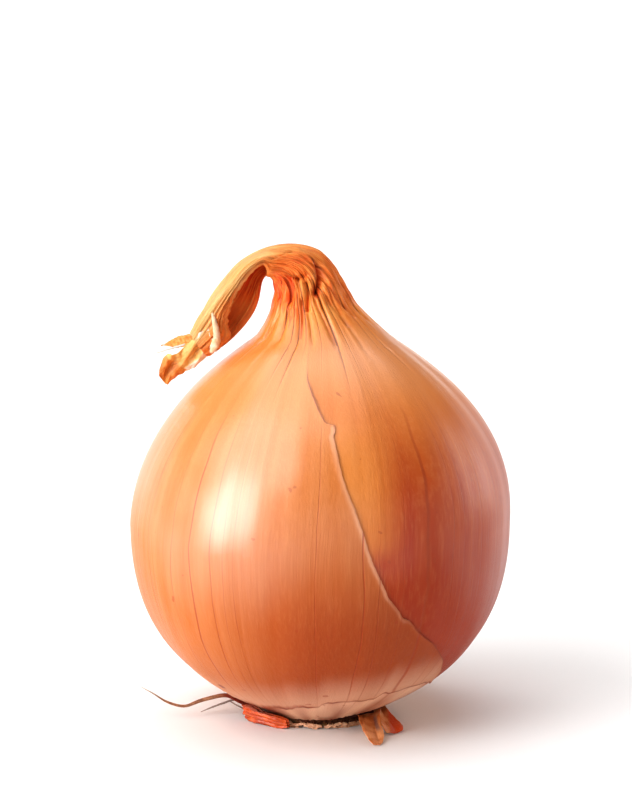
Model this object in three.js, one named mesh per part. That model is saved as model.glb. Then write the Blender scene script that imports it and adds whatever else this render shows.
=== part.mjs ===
// A brown onion, lifted and dried: the bulb, the loose outermost skin with its free edge, the withered
// neck bent over to one side and its torn leaf tips, the corky root plate it stands on, three dry roots
// and the torn skin ends round the base.
// Millimetres, +Z up. The origin is the middle of the root plate's resting face. The neck leans to -X.

import * as THREE from "three";
import { mergeVertices } from "three/addons/utils/BufferGeometryUtils.js";

// Driving dimensions of the bulb, measured over the outer skin.
const WIDEST_RADIUS = 40;
const WIDEST_HEIGHT = 42;
const OVAL_SHARE = 0.012; // the bulb is this much narrower from front to back
const SHOULDER_LEAN = 1; // how far the shoulders lean to +X, away from the bent neck
const LEAN_SPAN = 50; // the height over which that lean comes and goes, above the widest ring

// Each side runs straight up or down from the widest ring for a way, then turns in to a straight slope.
const SHOULDER_RISE = 23.6;
const NECK_REACH = 4.3;
const NECK_SLOPE = THREE.MathUtils.degToRad(40);
const BELLY_DROP = 31.4;
const BASE_REACH = 6.3;
const BASE_SLOPE = THREE.MathUtils.degToRad(47);

const NECK_FOOT_RADIUS = 14;
const NECK_FOOT_HEIGHT = 81;
const BASE_RADIUS = 13.4;

const SKIN_THICKNESS = 0.35;
const SKIN_SLACK = 0.45; // between the loose outer skin and the bulb
const BARE_INSET = 0.15; // of the bulb where the outer skin has opened
const CLEARANCE = 0.3; // between other neighbouring pieces

const PLATE_RADIUS = 12.6;
const PLATE_HEIGHT = 1.4;
const PLATE_BEVEL = 0.8;

// The outer skin's free edges, as angles round the bulb: 0 faces -Y and 90 faces +X.
const BACK_EDGE_ANGLE = 118;
const SKIN_TOP = NECK_FOOT_HEIGHT - CLEARANCE;
const LOWER_EDGE_HEIGHT = 7.6;
const LOWER_EDGE_TILT = 3; // the edge is torn away higher on the right than on the left

const BULB_SIDES = 40;
const NECK_SIDES = 20;
const ROOT_SIDES = 6;

// Materials, one for each kind of tissue.
const finish = (color, roughness) => new THREE.MeshStandardMaterial({ color, roughness, metalness: 0 });
const innerSkin = finish("#c8602a", 0.35);
const outerSkin = finish("#e5975c", 0.32);
const dryLeaf = finish("#e8a85f", 0.6);
const tornSkin = finish("#d9702f", 0.55);
const corkyPlate = finish("#b99468", 0.9);
const dryRoot = finish("#8a5a40", 0.75);

// Each half of the side is one Bezier curve of [radius, height], starting at the widest ring.
const widest = new THREE.Vector2(WIDEST_RADIUS, WIDEST_HEIGHT);
const neckFoot = new THREE.Vector2(NECK_FOOT_RADIUS, NECK_FOOT_HEIGHT);
const base = new THREE.Vector2(BASE_RADIUS, PLATE_HEIGHT);
const shoulder = new THREE.CubicBezierCurve(
  widest,
  new THREE.Vector2(WIDEST_RADIUS, WIDEST_HEIGHT + SHOULDER_RISE),
  new THREE.Vector2(Math.cos(NECK_SLOPE), -Math.sin(NECK_SLOPE)).multiplyScalar(NECK_REACH).add(neckFoot),
  neckFoot,
);
const belly = new THREE.CubicBezierCurve(
  widest,
  new THREE.Vector2(WIDEST_RADIUS, WIDEST_HEIGHT - BELLY_DROP),
  new THREE.Vector2(Math.cos(BASE_SLOPE), Math.sin(BASE_SLOPE)).multiplyScalar(BASE_REACH).add(base),
  base,
);

// The radius of the whole bulb, over its skin, at a height, found by halving along the curve.
function skinRadius(height) {
  const curve = height >= WIDEST_HEIGHT ? shoulder : belly;
  const reach = Math.abs(height - WIDEST_HEIGHT);
  let low = 0;
  let high = 1;
  for (let step = 0; step < 30; step++) {
    const middle = (low + high) / 2;
    if (Math.abs(curve.getPoint(middle).y - WIDEST_HEIGHT) < reach) low = middle;
    else high = middle;
  }
  return curve.getPoint(low).x;
}

// How far the middle of the bulb has moved to +X at a height.
function lean(height) {
  return SHOULDER_LEAN * Math.sin((Math.PI * Math.max(height - WIDEST_HEIGHT, 0)) / LEAN_SPAN);
}

// A point round the bulb, inset from the outside of its skin. The angle is in degrees.
function bulbPoint(angle, height, inset = 0) {
  const turn = THREE.MathUtils.degToRad(angle);
  const radius = skinRadius(height) - inset;
  const across = lean(height) + radius * Math.sin(turn);
  return new THREE.Vector3(across, -radius * (1 - OVAL_SHARE) * Math.cos(turn), height);
}

// A closed solid through rings of points, each ring going the same way round, closed at both ends.
function solidThroughRings(rings) {
  const sides = rings[0].length;
  const middleOf = (ring) =>
    ring.reduce((sum, point) => sum.add(point), new THREE.Vector3()).divideScalar(ring.length);
  const points = [...rings.flat(), middleOf(rings[0]), middleOf(rings[rings.length - 1])];
  const firstMiddle = points.length - 2;
  const lastMiddle = points.length - 1;
  const lastRing = (rings.length - 1) * sides;
  const faces = [];
  for (let side = 0; side < sides; side++) {
    const next = (side + 1) % sides;
    for (let ring = 0; ring < rings.length - 1; ring++) {
      const below = ring * sides;
      const above = below + sides;
      faces.push(below + side, below + next, above + next);
      faces.push(below + side, above + next, above + side);
    }
    faces.push(firstMiddle, next, side);
    faces.push(lastMiddle, lastRing + side, lastRing + next);
  }
  const geometry = new THREE.BufferGeometry().setFromPoints(points).setIndex(faces);
  return mergeVertices(geometry, 1e-4);
}

// A closed solid between two matching grids of points, the outside and the inside of a curved sheet.
function solidSheet(outside, inside) {
  const columns = outside.length;
  const rows = outside[0].length;
  const last = columns - 1;
  const points = [...outside.flat(), ...inside.flat()];
  const outer = (column, row) => column * rows + row;
  const inner = (column, row) => columns * rows + outer(column, row);
  const faces = [];
  const quad = (a, b, c, d) => faces.push(a, b, c, a, c, d);
  for (let column = 0; column < columns - 1; column++) {
    const next = column + 1;
    for (let row = 0; row < rows - 1; row++) {
      quad(outer(column, row), outer(column, row + 1), outer(next, row + 1), outer(next, row));
      quad(inner(column, row), inner(next, row), inner(next, row + 1), inner(column, row + 1));
    }
    quad(outer(column, 0), outer(next, 0), inner(next, 0), inner(column, 0));
    quad(outer(next, rows - 1), outer(column, rows - 1), inner(column, rows - 1), inner(next, rows - 1));
  }
  for (let row = 0; row < rows - 1; row++) {
    quad(outer(0, row + 1), outer(0, row), inner(0, row), inner(0, row + 1));
    quad(outer(last, row), outer(last, row + 1), inner(last, row + 1), inner(last, row));
  }
  return new THREE.BufferGeometry().setFromPoints(points).setIndex(faces);
}

// A ring of points round an ellipse, whose two half axes are vectors.
function ellipseRing(centre, halfAcross, halfDeep, sides) {
  return Array.from({ length: sides }, (_, side) => {
    const turn = (2 * Math.PI * side) / sides;
    return centre
      .clone()
      .addScaledVector(halfAcross, Math.cos(turn))
      .addScaledVector(halfDeep, Math.sin(turn));
  });
}

// Heights from low to high, closer together at both ends, where the bulb curves in.
function endwiseSteps(low, high, steps) {
  return Array.from({ length: steps + 1 }, (_, step) => {
    const share = step / steps;
    const eased = (1 - Math.cos(Math.PI * share)) / 2;
    return low + (high - low) * (0.65 * eased + 0.35 * share);
  });
}

// The angle of the outer skin's front edge, which runs down from the neck and away to the right.
// The share is 0 at the neck and 1 at the lower edge.
const frontEdgeAngle = (share) => -10 + 43 * share + 32 * share ** 6;

// The other free edge, on the back of the bulb, wanders a little.
const backEdgeAngle = (share) => BACK_EDGE_ANGLE + 6 * Math.sin(3 * share) + 3 * Math.sin(9 * share);

// The ragged lower edge, where the skin has torn away from the root plate.
function lowerEdgeHeight(angle) {
  const turn = THREE.MathUtils.degToRad(angle);
  return LOWER_EDGE_HEIGHT + LOWER_EDGE_TILT * Math.sin(turn + 0.26) + 0.4 * Math.sin(5 * turn + 1);
}

// How far down the outer skin a height is: 0 at the neck and 1 at the lower edge.
const skinShare = (angle, height) => (SKIN_TOP - height) / (SKIN_TOP - lowerEdgeHeight(angle));

// How bare the bulb is at a place: 0 under the outer skin, rising to 1 well inside the opening.
function bareness(angle, height) {
  const share = THREE.MathUtils.clamp(skinShare(angle, height), 0, 1);
  const turn = ((angle + 180) % 360) - 180;
  const inside = Math.min(turn - frontEdgeAngle(share), backEdgeAngle(share) - turn);
  return THREE.MathUtils.smoothstep(inside, 4, 24);
}

// The bulb itself, inside the outer skin. Its own skin shows where the outer one has opened.
function makeBulb() {
  const covered = SKIN_THICKNESS + SKIN_SLACK;
  const heights = endwiseSteps(PLATE_HEIGHT + CLEARANCE, NECK_FOOT_HEIGHT - CLEARANCE, 30);
  const rings = heights.map((height) =>
    Array.from({ length: BULB_SIDES }, (_, side) => {
      const angle = (360 * side) / BULB_SIDES;
      const inset = THREE.MathUtils.lerp(covered, BARE_INSET, bareness(angle, height));
      return bulbPoint(angle, height, inset);
    }),
  );
  return solidThroughRings(rings);
}

// The outermost dry skin, a thin sheet round most of the bulb with one side of the bulb left bare.
function makeOuterSkin() {
  const around = 32;
  const along = 28;
  const shares = endwiseSteps(0, 1, along);
  const grid = (inset) =>
    Array.from({ length: around + 1 }, (_, column) =>
      shares.map((share) => {
        const back = backEdgeAngle(share) - 360;
        const angle = back + ((frontEdgeAngle(share) - back) * column) / around;
        return bulbPoint(angle, SKIN_TOP - share * (SKIN_TOP - lowerEdgeHeight(angle)), inset);
      }),
    );
  return solidSheet(grid(0), grid(SKIN_THICKNESS));
}

// The neck is swept between its two edges in the plane of the bend: the back of the bend and the
// underside of it, as matched pairs of [x, z], with half the depth from front to back at each.
const NECK_STATIONS = [
  { back: [14.6, 81.0], under: [-13.3, 81.0], halfDepth: 13.8 },
  { back: [11.7, 83.6], under: [-11.6, 83.6], halfDepth: 11.4 },
  { back: [9.2, 86.0], under: [-10.5, 86.0], halfDepth: 9.8 },
  { back: [7.0, 88.5], under: [-9.9, 88.2], halfDepth: 8.8 },
  { back: [5.2, 91.6], under: [-9.4, 90.5], halfDepth: 8.0 },
  { back: [3.3, 94.8], under: [-9.5, 92.1], halfDepth: 7.4 },
  { back: [0.2, 98.3], under: [-10.1, 93.0], halfDepth: 6.8 },
  { back: [-4.8, 99.8], under: [-10.8, 93.3], halfDepth: 6.1 },
  { back: [-10.6, 99.2], under: [-11.6, 93.1], halfDepth: 5.5 },
  { back: [-16.0, 96.4], under: [-12.4, 91.6], halfDepth: 5.0 },
  { back: [-19.8, 92.6], under: [-13.1, 88.3], halfDepth: 4.7 },
  { back: [-22.6, 89.2], under: [-14.3, 85.4], halfDepth: 4.5 },
  { back: [-24.6, 86.0], under: [-16.8, 82.0], halfDepth: 4.3 },
  { back: [-26.0, 83.6], under: [-19.8, 79.0], halfDepth: 4.1 },
  { back: [-27.0, 81.3], under: [-23.4, 76.6], halfDepth: 3.9 },
];

function makeNeck() {
  const points = (edge) => NECK_STATIONS.map((station) => new THREE.Vector2(...station[edge]));
  const back = new THREE.SplineCurve(points("back"));
  const under = new THREE.SplineCurve(points("under"));
  const depths = new THREE.SplineCurve(
    NECK_STATIONS.map((station, index) => new THREE.Vector2(index, station.halfDepth)),
  );
  const steps = 2 * (NECK_STATIONS.length - 1);
  const rings = [];
  for (let step = 0; step <= steps; step++) {
    const share = step / steps;
    const far = back.getPoint(share);
    const near = under.getPoint(share);
    const centre = new THREE.Vector3((far.x + near.x) / 2, 0, (far.y + near.y) / 2);
    const halfAcross = new THREE.Vector3((far.x - near.x) / 2, 0, (far.y - near.y) / 2);
    const halfDeep = new THREE.Vector3(0, depths.getPoint(share).y, 0);
    rings.push(ellipseRing(centre, halfAcross, halfDeep, NECK_SIDES));
  }
  return solidThroughRings(rings);
}

// A bent strip of dry skin or leaf through stations of { at, half }: the middle of the strip, and half
// its width as a vector. Nothing of it goes below the surface that the onion stands on.
function makeStrip(stations, thickness) {
  const at = new THREE.CatmullRomCurve3(stations.map((station) => new THREE.Vector3(...station.at)));
  const half = new THREE.CatmullRomCurve3(stations.map((station) => new THREE.Vector3(...station.half)));
  const steps = 3 * (stations.length - 1);
  const rings = [];
  for (let step = 0; step <= steps; step++) {
    const share = step / steps;
    const middle = at.getPoint(share);
    const side = half.getPoint(share);
    const face = at.getTangent(share).cross(side).normalize().multiplyScalar(thickness / 2);
    const ring = [
      middle.clone().add(side).add(face),
      middle.clone().sub(side).add(face),
      middle.clone().sub(side).sub(face),
      middle.clone().add(side).sub(face),
    ];
    for (const point of ring) point.z = Math.max(point.z, 0);
    rings.push(ring);
  }
  return solidThroughRings(rings);
}

// The two torn leaf tips that stick out of the end of the neck, above and below.
const LEAF_THICKNESS = 0.7;
const UPPER_LEAF_TIP = [
  { at: [-27.6, 0, 80.3], half: [0.2, 1.8, 0.9] },
  { at: [-30.4, 0.2, 79.8], half: [0.1, 1.4, 0.8] },
  { at: [-33.4, 0.4, 78.9], half: [0.1, 0.5, 0.3] },
];
const LOWER_LEAF_TIP = [
  { at: [-25.8, 0, 77.9], half: [1.3, 2.0, -1.6] },
  { at: [-29.9, -0.4, 75.3], half: [1.9, 2.0, -2.0] },
  { at: [-33.0, -0.8, 71.6], half: [0.9, 1.6, -1.1] },
];

// The root plate: a flat corky disc with a bevelled lower edge.
function makeRootPlate() {
  const profile = [
    new THREE.Vector2(0, 0),
    new THREE.Vector2(PLATE_RADIUS - PLATE_BEVEL, 0),
    new THREE.Vector2(PLATE_RADIUS, PLATE_BEVEL / 2),
    new THREE.Vector2(PLATE_RADIUS, PLATE_HEIGHT),
    new THREE.Vector2(0, PLATE_HEIGHT),
  ];
  // A lathe turns about Y, so it is stood up to turn about Z.
  return new THREE.LatheGeometry(profile, 28).rotateX(Math.PI / 2);
}

// A dry root: a tapering thread through points, from the root plate's edge to its tip.
function makeRoot(points, baseRadius, tipRadius) {
  const path = new THREE.CatmullRomCurve3(points.map((point) => new THREE.Vector3(...point)));
  const steps = 3 * (points.length - 1);
  const up = new THREE.Vector3(0, 0, 1);
  const rings = [];
  for (let step = 0; step <= steps; step++) {
    const share = step / steps;
    const radius = baseRadius + (tipRadius - baseRadius) * share;
    const forward = path.getTangent(share);
    const across = forward.clone().cross(up).normalize();
    const raised = forward.clone().cross(across);
    across.multiplyScalar(radius);
    raised.multiplyScalar(radius);
    rings.push(ellipseRing(path.getPoint(share), across, raised, ROOT_SIDES));
  }
  return solidThroughRings(rings);
}

const LONG_ROOT = [
  [-12.8, -2.6, 0.9],
  [-16.2, -4.2, 2.6],
  [-19.8, -5.0, 4.6],
  [-24.6, -5.1, 3.7],
  [-28.9, -5.1, 2.3],
  [-32.5, -5.0, 3.2],
  [-35.2, -5.0, 4.9],
  [-38.0, -4.9, 6.5],
];
const MIDDLE_ROOT = [
  [-12.9, 1.4, 0.8],
  [-15.4, -0.6, 2.2],
  [-18.2, -2.0, 2.8],
  [-21.8, -3.1, 1.9],
  [-25.4, -4.0, 0.7],
];
const SHORT_ROOT = [
  [-12.1, -4.9, 0.7],
  [-15.8, -6.2, 1.9],
  [-19.1, -6.5, 3.8],
];

// The torn skin ends at the base: a crumpled rag on the left and two tabs on the right.
const TORN_THICKNESS = 0.5;
const LEFT_RAG = [
  { at: [-15.7, -8.4, 1.7], half: [-0.4, -0.2, 1.2] },
  { at: [-13.7, -10.8, 1.5], half: [-0.5, -0.4, 1.45] },
  { at: [-10.8, -12.8, 1.4], half: [-0.4, -0.6, 1.35] },
  { at: [-7.2, -14.0, 1.1], half: [-0.2, -0.5, 0.95] },
];
const FRONT_TAB = [
  { at: [8.8, -12.6, 1.2], half: [2.0, -1.4, 0] },
  { at: [9.9, -16.4, 1.1], half: [2.0, -1.1, 0.1] },
  { at: [10.9, -20.8, 0.6], half: [1.8, -0.7, 0] },
  { at: [11.6, -24.8, 0.25], half: [1.0, -0.3, 0] },
];
const REAR_TAB = [
  { at: [12.6, -8.6, 1.2], half: [1.4, -1.7, 0] },
  { at: [14.6, -11.2, 1.3], half: [1.4, -1.6, 0.1] },
  { at: [16.4, -14.2, 0.7], half: [1.4, -1.4, 0] },
  { at: [17.4, -16.6, 0.25], half: [1.1, -1.1, 0] },
];

const onion = new THREE.Group();

function add(name, geometry, material) {
  const mesh = new THREE.Mesh(geometry, material);
  mesh.name = name;
  onion.add(mesh);
}

add("bulb", makeBulb(), innerSkin);
add("outer_skin", makeOuterSkin(), outerSkin);
add("neck", makeNeck(), dryLeaf);
add("leaf_tip_upper", makeStrip(UPPER_LEAF_TIP, LEAF_THICKNESS), dryLeaf);
add("leaf_tip_lower", makeStrip(LOWER_LEAF_TIP, LEAF_THICKNESS), dryLeaf);
add("root_plate", makeRootPlate(), corkyPlate);
add("root_long", makeRoot(LONG_ROOT, 0.42, 0.15), dryRoot);
add("root_middle", makeRoot(MIDDLE_ROOT, 0.25, 0.15), dryRoot);
add("root_short", makeRoot(SHORT_ROOT, 0.25, 0.15), dryRoot);
add("skin_rag_left", makeStrip(LEFT_RAG, TORN_THICKNESS), tornSkin);
add("skin_tab_front", makeStrip(FRONT_TAB, TORN_THICKNESS), tornSkin);
add("skin_tab_rear", makeStrip(REAR_TAB, TORN_THICKNESS), tornSkin);

export default onion;
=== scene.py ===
"""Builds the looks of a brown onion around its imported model, laid out as a Blender add-on.

The onion stands on its root plate. Its withered neck is bent over to -X, and the outermost skin has
opened along an edge that runs down the front. Forms are worked out in millimetres and turned into
metres where a mesh is made.
"""

import math

import bpy
import numpy as np
from bpy.props import FloatProperty, FloatVectorProperty, IntProperty, PointerProperty
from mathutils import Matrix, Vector


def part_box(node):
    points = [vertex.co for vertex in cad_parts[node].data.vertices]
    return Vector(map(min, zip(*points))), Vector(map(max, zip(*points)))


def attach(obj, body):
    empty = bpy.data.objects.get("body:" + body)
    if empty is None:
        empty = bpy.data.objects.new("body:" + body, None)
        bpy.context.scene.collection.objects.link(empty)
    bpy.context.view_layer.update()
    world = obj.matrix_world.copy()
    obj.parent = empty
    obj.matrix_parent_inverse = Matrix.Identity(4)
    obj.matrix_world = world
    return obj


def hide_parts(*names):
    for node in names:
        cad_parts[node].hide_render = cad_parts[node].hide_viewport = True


bl_info = {
    "name": "Brown Onion",
    "version": (1, 0, 0),
    "blender": (4, 5, 0),
    "location": "View3D > Sidebar > Onion",
    "description": "Makes the skins, neck, roots and studio of a brown onion around its packed model",
    "category": "Object",
}

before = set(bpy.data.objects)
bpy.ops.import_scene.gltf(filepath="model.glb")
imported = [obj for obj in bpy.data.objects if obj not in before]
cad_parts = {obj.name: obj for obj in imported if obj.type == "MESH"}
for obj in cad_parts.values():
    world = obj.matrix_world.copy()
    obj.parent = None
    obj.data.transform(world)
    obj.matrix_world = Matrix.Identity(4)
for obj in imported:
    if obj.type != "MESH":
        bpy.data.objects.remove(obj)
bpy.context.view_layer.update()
BODY = "root"
MM = 0.001

# ---------------------------------------------------------------------------------------------------
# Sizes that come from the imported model, in millimetres.


def box_mm(node):
    """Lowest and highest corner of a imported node, in millimetres."""
    low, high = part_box(node)
    return np.array(low) / MM, np.array(high) / MM


SKIN_LOW, SKIN_HIGH = box_mm("outer_skin")
BULB_LOW = box_mm("bulb")[0]
PLATE_HIGH = box_mm("root_plate")[1]

# ---------------------------------------------------------------------------------------------------
# The form of the onion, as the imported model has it. Angles are in degrees round the bulb: 0 faces -Y
# and 90 faces +X.

WIDEST_HEIGHT = 42.0
OVAL_SHARE = 0.012
SHOULDER_LEAN = 1.0
LEAN_SPAN = 50.0
SHOULDER_RISE = 23.6
NECK_REACH = 4.3
NECK_SLOPE = math.radians(40)
BELLY_DROP = 31.4
BASE_REACH = 6.3
BASE_SLOPE = math.radians(47)
NECK_FOOT_RADIUS = 14.0
NECK_FOOT_HEIGHT = 81.0
BASE_RADIUS = 13.4

# The neck's two edges in the plane of the bend, [x, z], and half its depth from front to back.
NECK_BACK = [
    (14.6, 81.0), (11.7, 83.6), (9.2, 86.0), (7.0, 88.5), (5.2, 91.6), (3.3, 94.8), (0.2, 98.3),
    (-4.8, 99.8), (-10.6, 99.2), (-16.0, 96.4), (-19.8, 92.6), (-22.6, 89.2), (-24.6, 86.0),
    (-26.0, 83.6), (-27.0, 81.3),
]
NECK_UNDER = [
    (-13.3, 81.0), (-11.6, 83.6), (-10.5, 86.0), (-9.9, 88.2), (-9.4, 90.5), (-9.5, 92.1), (-10.1, 93.0),
    (-10.8, 93.3), (-11.6, 93.1), (-12.4, 91.6), (-13.1, 88.3), (-14.3, 85.4), (-16.8, 82.0),
    (-19.8, 79.0), (-23.4, 76.6),
]
NECK_HALF_DEPTH = [13.8, 11.4, 9.8, 8.8, 8.0, 7.4, 6.8, 6.1, 5.5, 5.0, 4.7, 4.5, 4.3, 4.1, 3.9]

# The outer skin's open front edge: its angle at heights from the neck down, with one small torn step.
FRONT_EDGE = [
    (81.0, -11.5), (78.0, -10.2), (74.9, -8.6), (72.6, -5.9), (70.4, -3.4), (67.9, -0.6), (67.2, 0.4),
    (66.8, 3.3), (65.6, 3.6), (64.7, 2.9), (61.0, 4.2), (57.0, 5.7), (51.0, 9.3), (45.5, 12.3),
    (40.2, 15.0), (33.4, 19.7), (27.0, 26.5), (23.0, 32.6), (19.5, 39.7), (15.0, 48.0), (11.2, 54.6),
    (8.0, 58.0),
]
BACK_EDGE_ANGLE = 118.0

# Where the three dry roots run, from the root plate's rim to their tips.
LONG_ROOT = [
    (-12.8, -2.6, 0.9), (-16.2, -4.2, 2.6), (-19.8, -5.0, 4.6), (-24.6, -5.1, 3.7), (-28.9, -5.1, 2.3),
    (-32.5, -5.0, 3.2), (-35.2, -5.0, 4.9), (-38.0, -4.9, 6.5),
]
MIDDLE_ROOT = [
    (-12.9, 1.4, 0.8), (-15.4, -0.6, 2.2), (-18.2, -2.0, 2.8), (-21.8, -3.1, 1.9), (-25.4, -4.0, 0.7),
]
SHORT_ROOT = [(-12.1, -4.9, 0.7), (-15.8, -6.2, 1.9), (-19.1, -6.5, 3.8)]


def smooth(value, low, high):
    """0 up to low, 1 from high on, and a smooth rise between. High may be the smaller of the two."""
    share = np.clip((value - low) / (high - low), 0.0, 1.0)
    return share * share * (3.0 - 2.0 * share)


def between(value, low, high, end_low, end_high):
    """1 over a stretch, with a smooth rise into it and a smooth fall out of it."""
    return smooth(value, low, high) * smooth(value, end_low, end_high)


def signed(angle):
    """The same angle from -180 to 180."""
    return (angle + 180) % 360 - 180


def spline(points, share):
    """Points on the curve through a list of points, for shares from 0 to 1 along it."""
    knots = np.asarray(points, float).reshape(len(points), -1)
    place = np.clip(np.asarray(share, float), 0.0, 1.0) * (len(knots) - 1)
    index = np.minimum(place.astype(int), len(knots) - 2)
    t = (place - index)[..., None]
    before = knots[np.maximum(index - 1, 0)]
    start = knots[index]
    end = knots[index + 1]
    after = knots[np.minimum(index + 2, len(knots) - 1)]
    slope_in = (end - before) / 2
    slope_out = (after - start) / 2
    square = t * t
    cube = square * t
    return (
        (2 * start - 2 * end + slope_in + slope_out) * cube
        + (-3 * start + 3 * end - 2 * slope_in - slope_out) * square
        + slope_in * t
        + start
    )


def ripples(around, along, seed, waves, drift, terms=14):
    """Smooth seeded unevenness of about -1 to 1, with so many waves round the bulb (lowest, highest).
    Drift is how fast it changes lengthwise, in radians a millimetre."""
    rng = np.random.default_rng(seed)
    total = 0.0
    for _ in range(terms):
        count = rng.integers(waves[0], waves[1] + 1)
        rate = rng.uniform(-drift, drift)
        total = total + np.sin(np.radians(around) * count + rate * along + rng.uniform(0, 2 * math.pi))
    return total / math.sqrt(terms)


def ring_ripples(angle, seed, waves):
    """Ripples that only change round the bulb."""
    return ripples(angle, 0 * angle, seed, waves, 0.0)


def folds(u, v, seed, pitch, terms=4, spread=math.pi):
    """Sharp creases crossing a sheet, of about -1 to 1. u and v are in millimetres, and the creases
    lie within half of spread of the u direction."""
    rng = np.random.default_rng(seed)
    total = 0.0
    for _ in range(terms):
        turn = rng.uniform(-spread / 2, spread / 2)
        step = pitch * rng.uniform(0.7, 1.5)
        across = v * math.cos(turn) - u * math.sin(turn)
        total = total + np.arcsin(np.sin(2 * math.pi * across / step + rng.uniform(0, 6))) * 2 / math.pi
    return total / math.sqrt(terms)


def bezier(start, first, second, end, count=300):
    """Points along a cubic curve."""
    t = np.linspace(0.0, 1.0, count)[:, None]
    start, first, second, end = (np.asarray(point, float) for point in (start, first, second, end))
    return (1 - t) ** 3 * start + 3 * (1 - t) ** 2 * t * first + 3 * (1 - t) * t**2 * second + t**3 * end


class BulbForm:
    """The bulb's outside: its radius and middle at each height."""

    def __init__(self, shape):
        widest = shape.belly_radius / MM
        plate = shape.plate_height / MM
        slope_in = (math.cos(NECK_SLOPE) * NECK_REACH, -math.sin(NECK_SLOPE) * NECK_REACH)
        slope_out = (math.cos(BASE_SLOPE) * BASE_REACH, math.sin(BASE_SLOPE) * BASE_REACH)
        upper = bezier(
            (widest, WIDEST_HEIGHT),
            (widest, WIDEST_HEIGHT + SHOULDER_RISE),
            (NECK_FOOT_RADIUS + slope_in[0], NECK_FOOT_HEIGHT + slope_in[1]),
            (NECK_FOOT_RADIUS, NECK_FOOT_HEIGHT),
        )
        lower = bezier(
            (widest, WIDEST_HEIGHT),
            (widest, WIDEST_HEIGHT - BELLY_DROP),
            (BASE_RADIUS + slope_out[0], plate + slope_out[1]),
            (BASE_RADIUS, plate),
        )
        self.profile = np.concatenate([lower[::-1], upper[1:]])

    def radius(self, height):
        return np.interp(height, self.profile[:, 1], self.profile[:, 0])

    def points(self, angle, height):
        turn = np.radians(angle)
        radius = self.radius(height)
        lean = SHOULDER_LEAN * np.sin(np.pi * np.clip(height - WIDEST_HEIGHT, 0, None) / LEAN_SPAN)
        return np.stack(
            [lean + radius * np.sin(turn), -radius * (1 - OVAL_SHARE) * np.cos(turn), height + 0 * turn], -1
        )


def grid_normals(points, wraps=False):
    """Outward unit normals of a grid [row, column, xyz] whose rows rise and whose columns go round.
    A grid that wraps has its last column on its first."""
    along = np.gradient(points, axis=0)
    if wraps:
        ring = points[:, :-1]
        around = np.roll(ring, -1, axis=1) - np.roll(ring, 1, axis=1)
        around = np.concatenate([around, around[:, :1]], axis=1)
    else:
        around = np.gradient(points, axis=1)
    normals = np.cross(around, along)
    length = np.linalg.norm(normals, axis=-1, keepdims=True)
    return normals / np.maximum(length, 1e-9)


# ---------------------------------------------------------------------------------------------------
# Pleats and veins. They start as furrows at the neck and run down the bulb as thin dark veins.


def pleat_phase(angle, shape):
    """A steadily rising phase round the onion, in radians. Each multiple of pi is a pleat's furrow, and
    each odd multiple of pi / 2 is a vein between two of them."""
    even = np.radians(angle) * shape.pleat_count / 2
    return even + 0.9 * ring_ripples(angle, 11, (2, 9)) + 0.25 * ring_ripples(angle, 12, (10, 19))


def furrow(angle, shape):
    """The section of the pleats: 0 on their backs and up to 1 at the bottom of each furrow. Some
    furrows are deeper than others."""
    phase = pleat_phase(angle, shape)
    number = np.round(phase / np.pi).astype(int) % shape.pleat_count
    depth = np.random.default_rng(13).uniform(0.35, 1.0, shape.pleat_count)[number]
    return depth * (1 - np.abs(np.sin(phase))) ** 3


# Deep folds where the neck is pinched, each a run of (angle, place lengthwise), its width and depth.
NECK_FOLDS = [
    ([(-39, 89.5), (-31, 95.0)], 1.1, 1.5),
    ([(-62, 90.0), (-52, 94.5)], 0.6, 0.8),
    ([(-33, 95.8), (-14, 94.4), (7, 94.8)], 0.5, 1.2),
    ([(46, 96.2), (24, 93.2), (8, 91.0)], 0.8, 1.8),
    ([(36, 98.0), (30, 95.0)], 0.5, 0.8),
    ([(-1, 93.0), (-10, 87.5)], 0.45, 1.2),
    ([(-54, 88.5), (-63, 81.0)], 0.30, 0.45),
    ([(-29, 90.5), (-40, 86.5), (-42, 81.5)], 0.32, 0.5),
    ([(-16, 89.5), (-20, 82.0)], 0.30, 0.5),
    ([(-10, 87.5), (-9, 81.0)], 0.28, 0.5),
    ([(4, 90.0), (10, 81.0)], 0.32, 0.6),
    ([(22, 92.0), (31, 84.5)], 0.32, 0.6),
    ([(32, 93.0), (50, 86.0)], 0.35, 0.6),
    ([(58, 94.0), (70, 85.0)], 0.4, 0.5),
    ([(12, 102.5), (28, 101.5), (46, 100.0)], 0.3, 0.5),
    ([(96, 96.0), (104, 86.0)], 0.45, 0.7),
    ([(140, 97.0), (146, 84.0)], 0.5, 0.9),
    ([(176, 95.0), (172, 85.0)], 0.5, 0.9),
    ([(208, 96.0), (215, 85.0)], 0.6, 1.1),
    ([(243, 94.0), (250, 84.0)], 0.5, 0.8),
]
FOLD_GIRTH = 8.0  # the neck's usual radius at the pinch, which turns angles into millimetres


def pleat_strength(angle, along):
    """How strong the pleats are: nothing on the belly, most at the pinched neck, little on the leaf."""
    start = 3.5 * ring_ripples(angle, 21, (8, 20))
    rise = smooth(along + start, 77, 92)
    calm = 1 - 0.6 * smooth(along, 97, 108)
    inner_side = 0.75 + 0.25 * np.cos(np.radians(angle + 25))
    return rise * calm * inner_side * (0.75 + 0.25 * ripples(angle, along, 22, (6, 14), 0.05))


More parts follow.
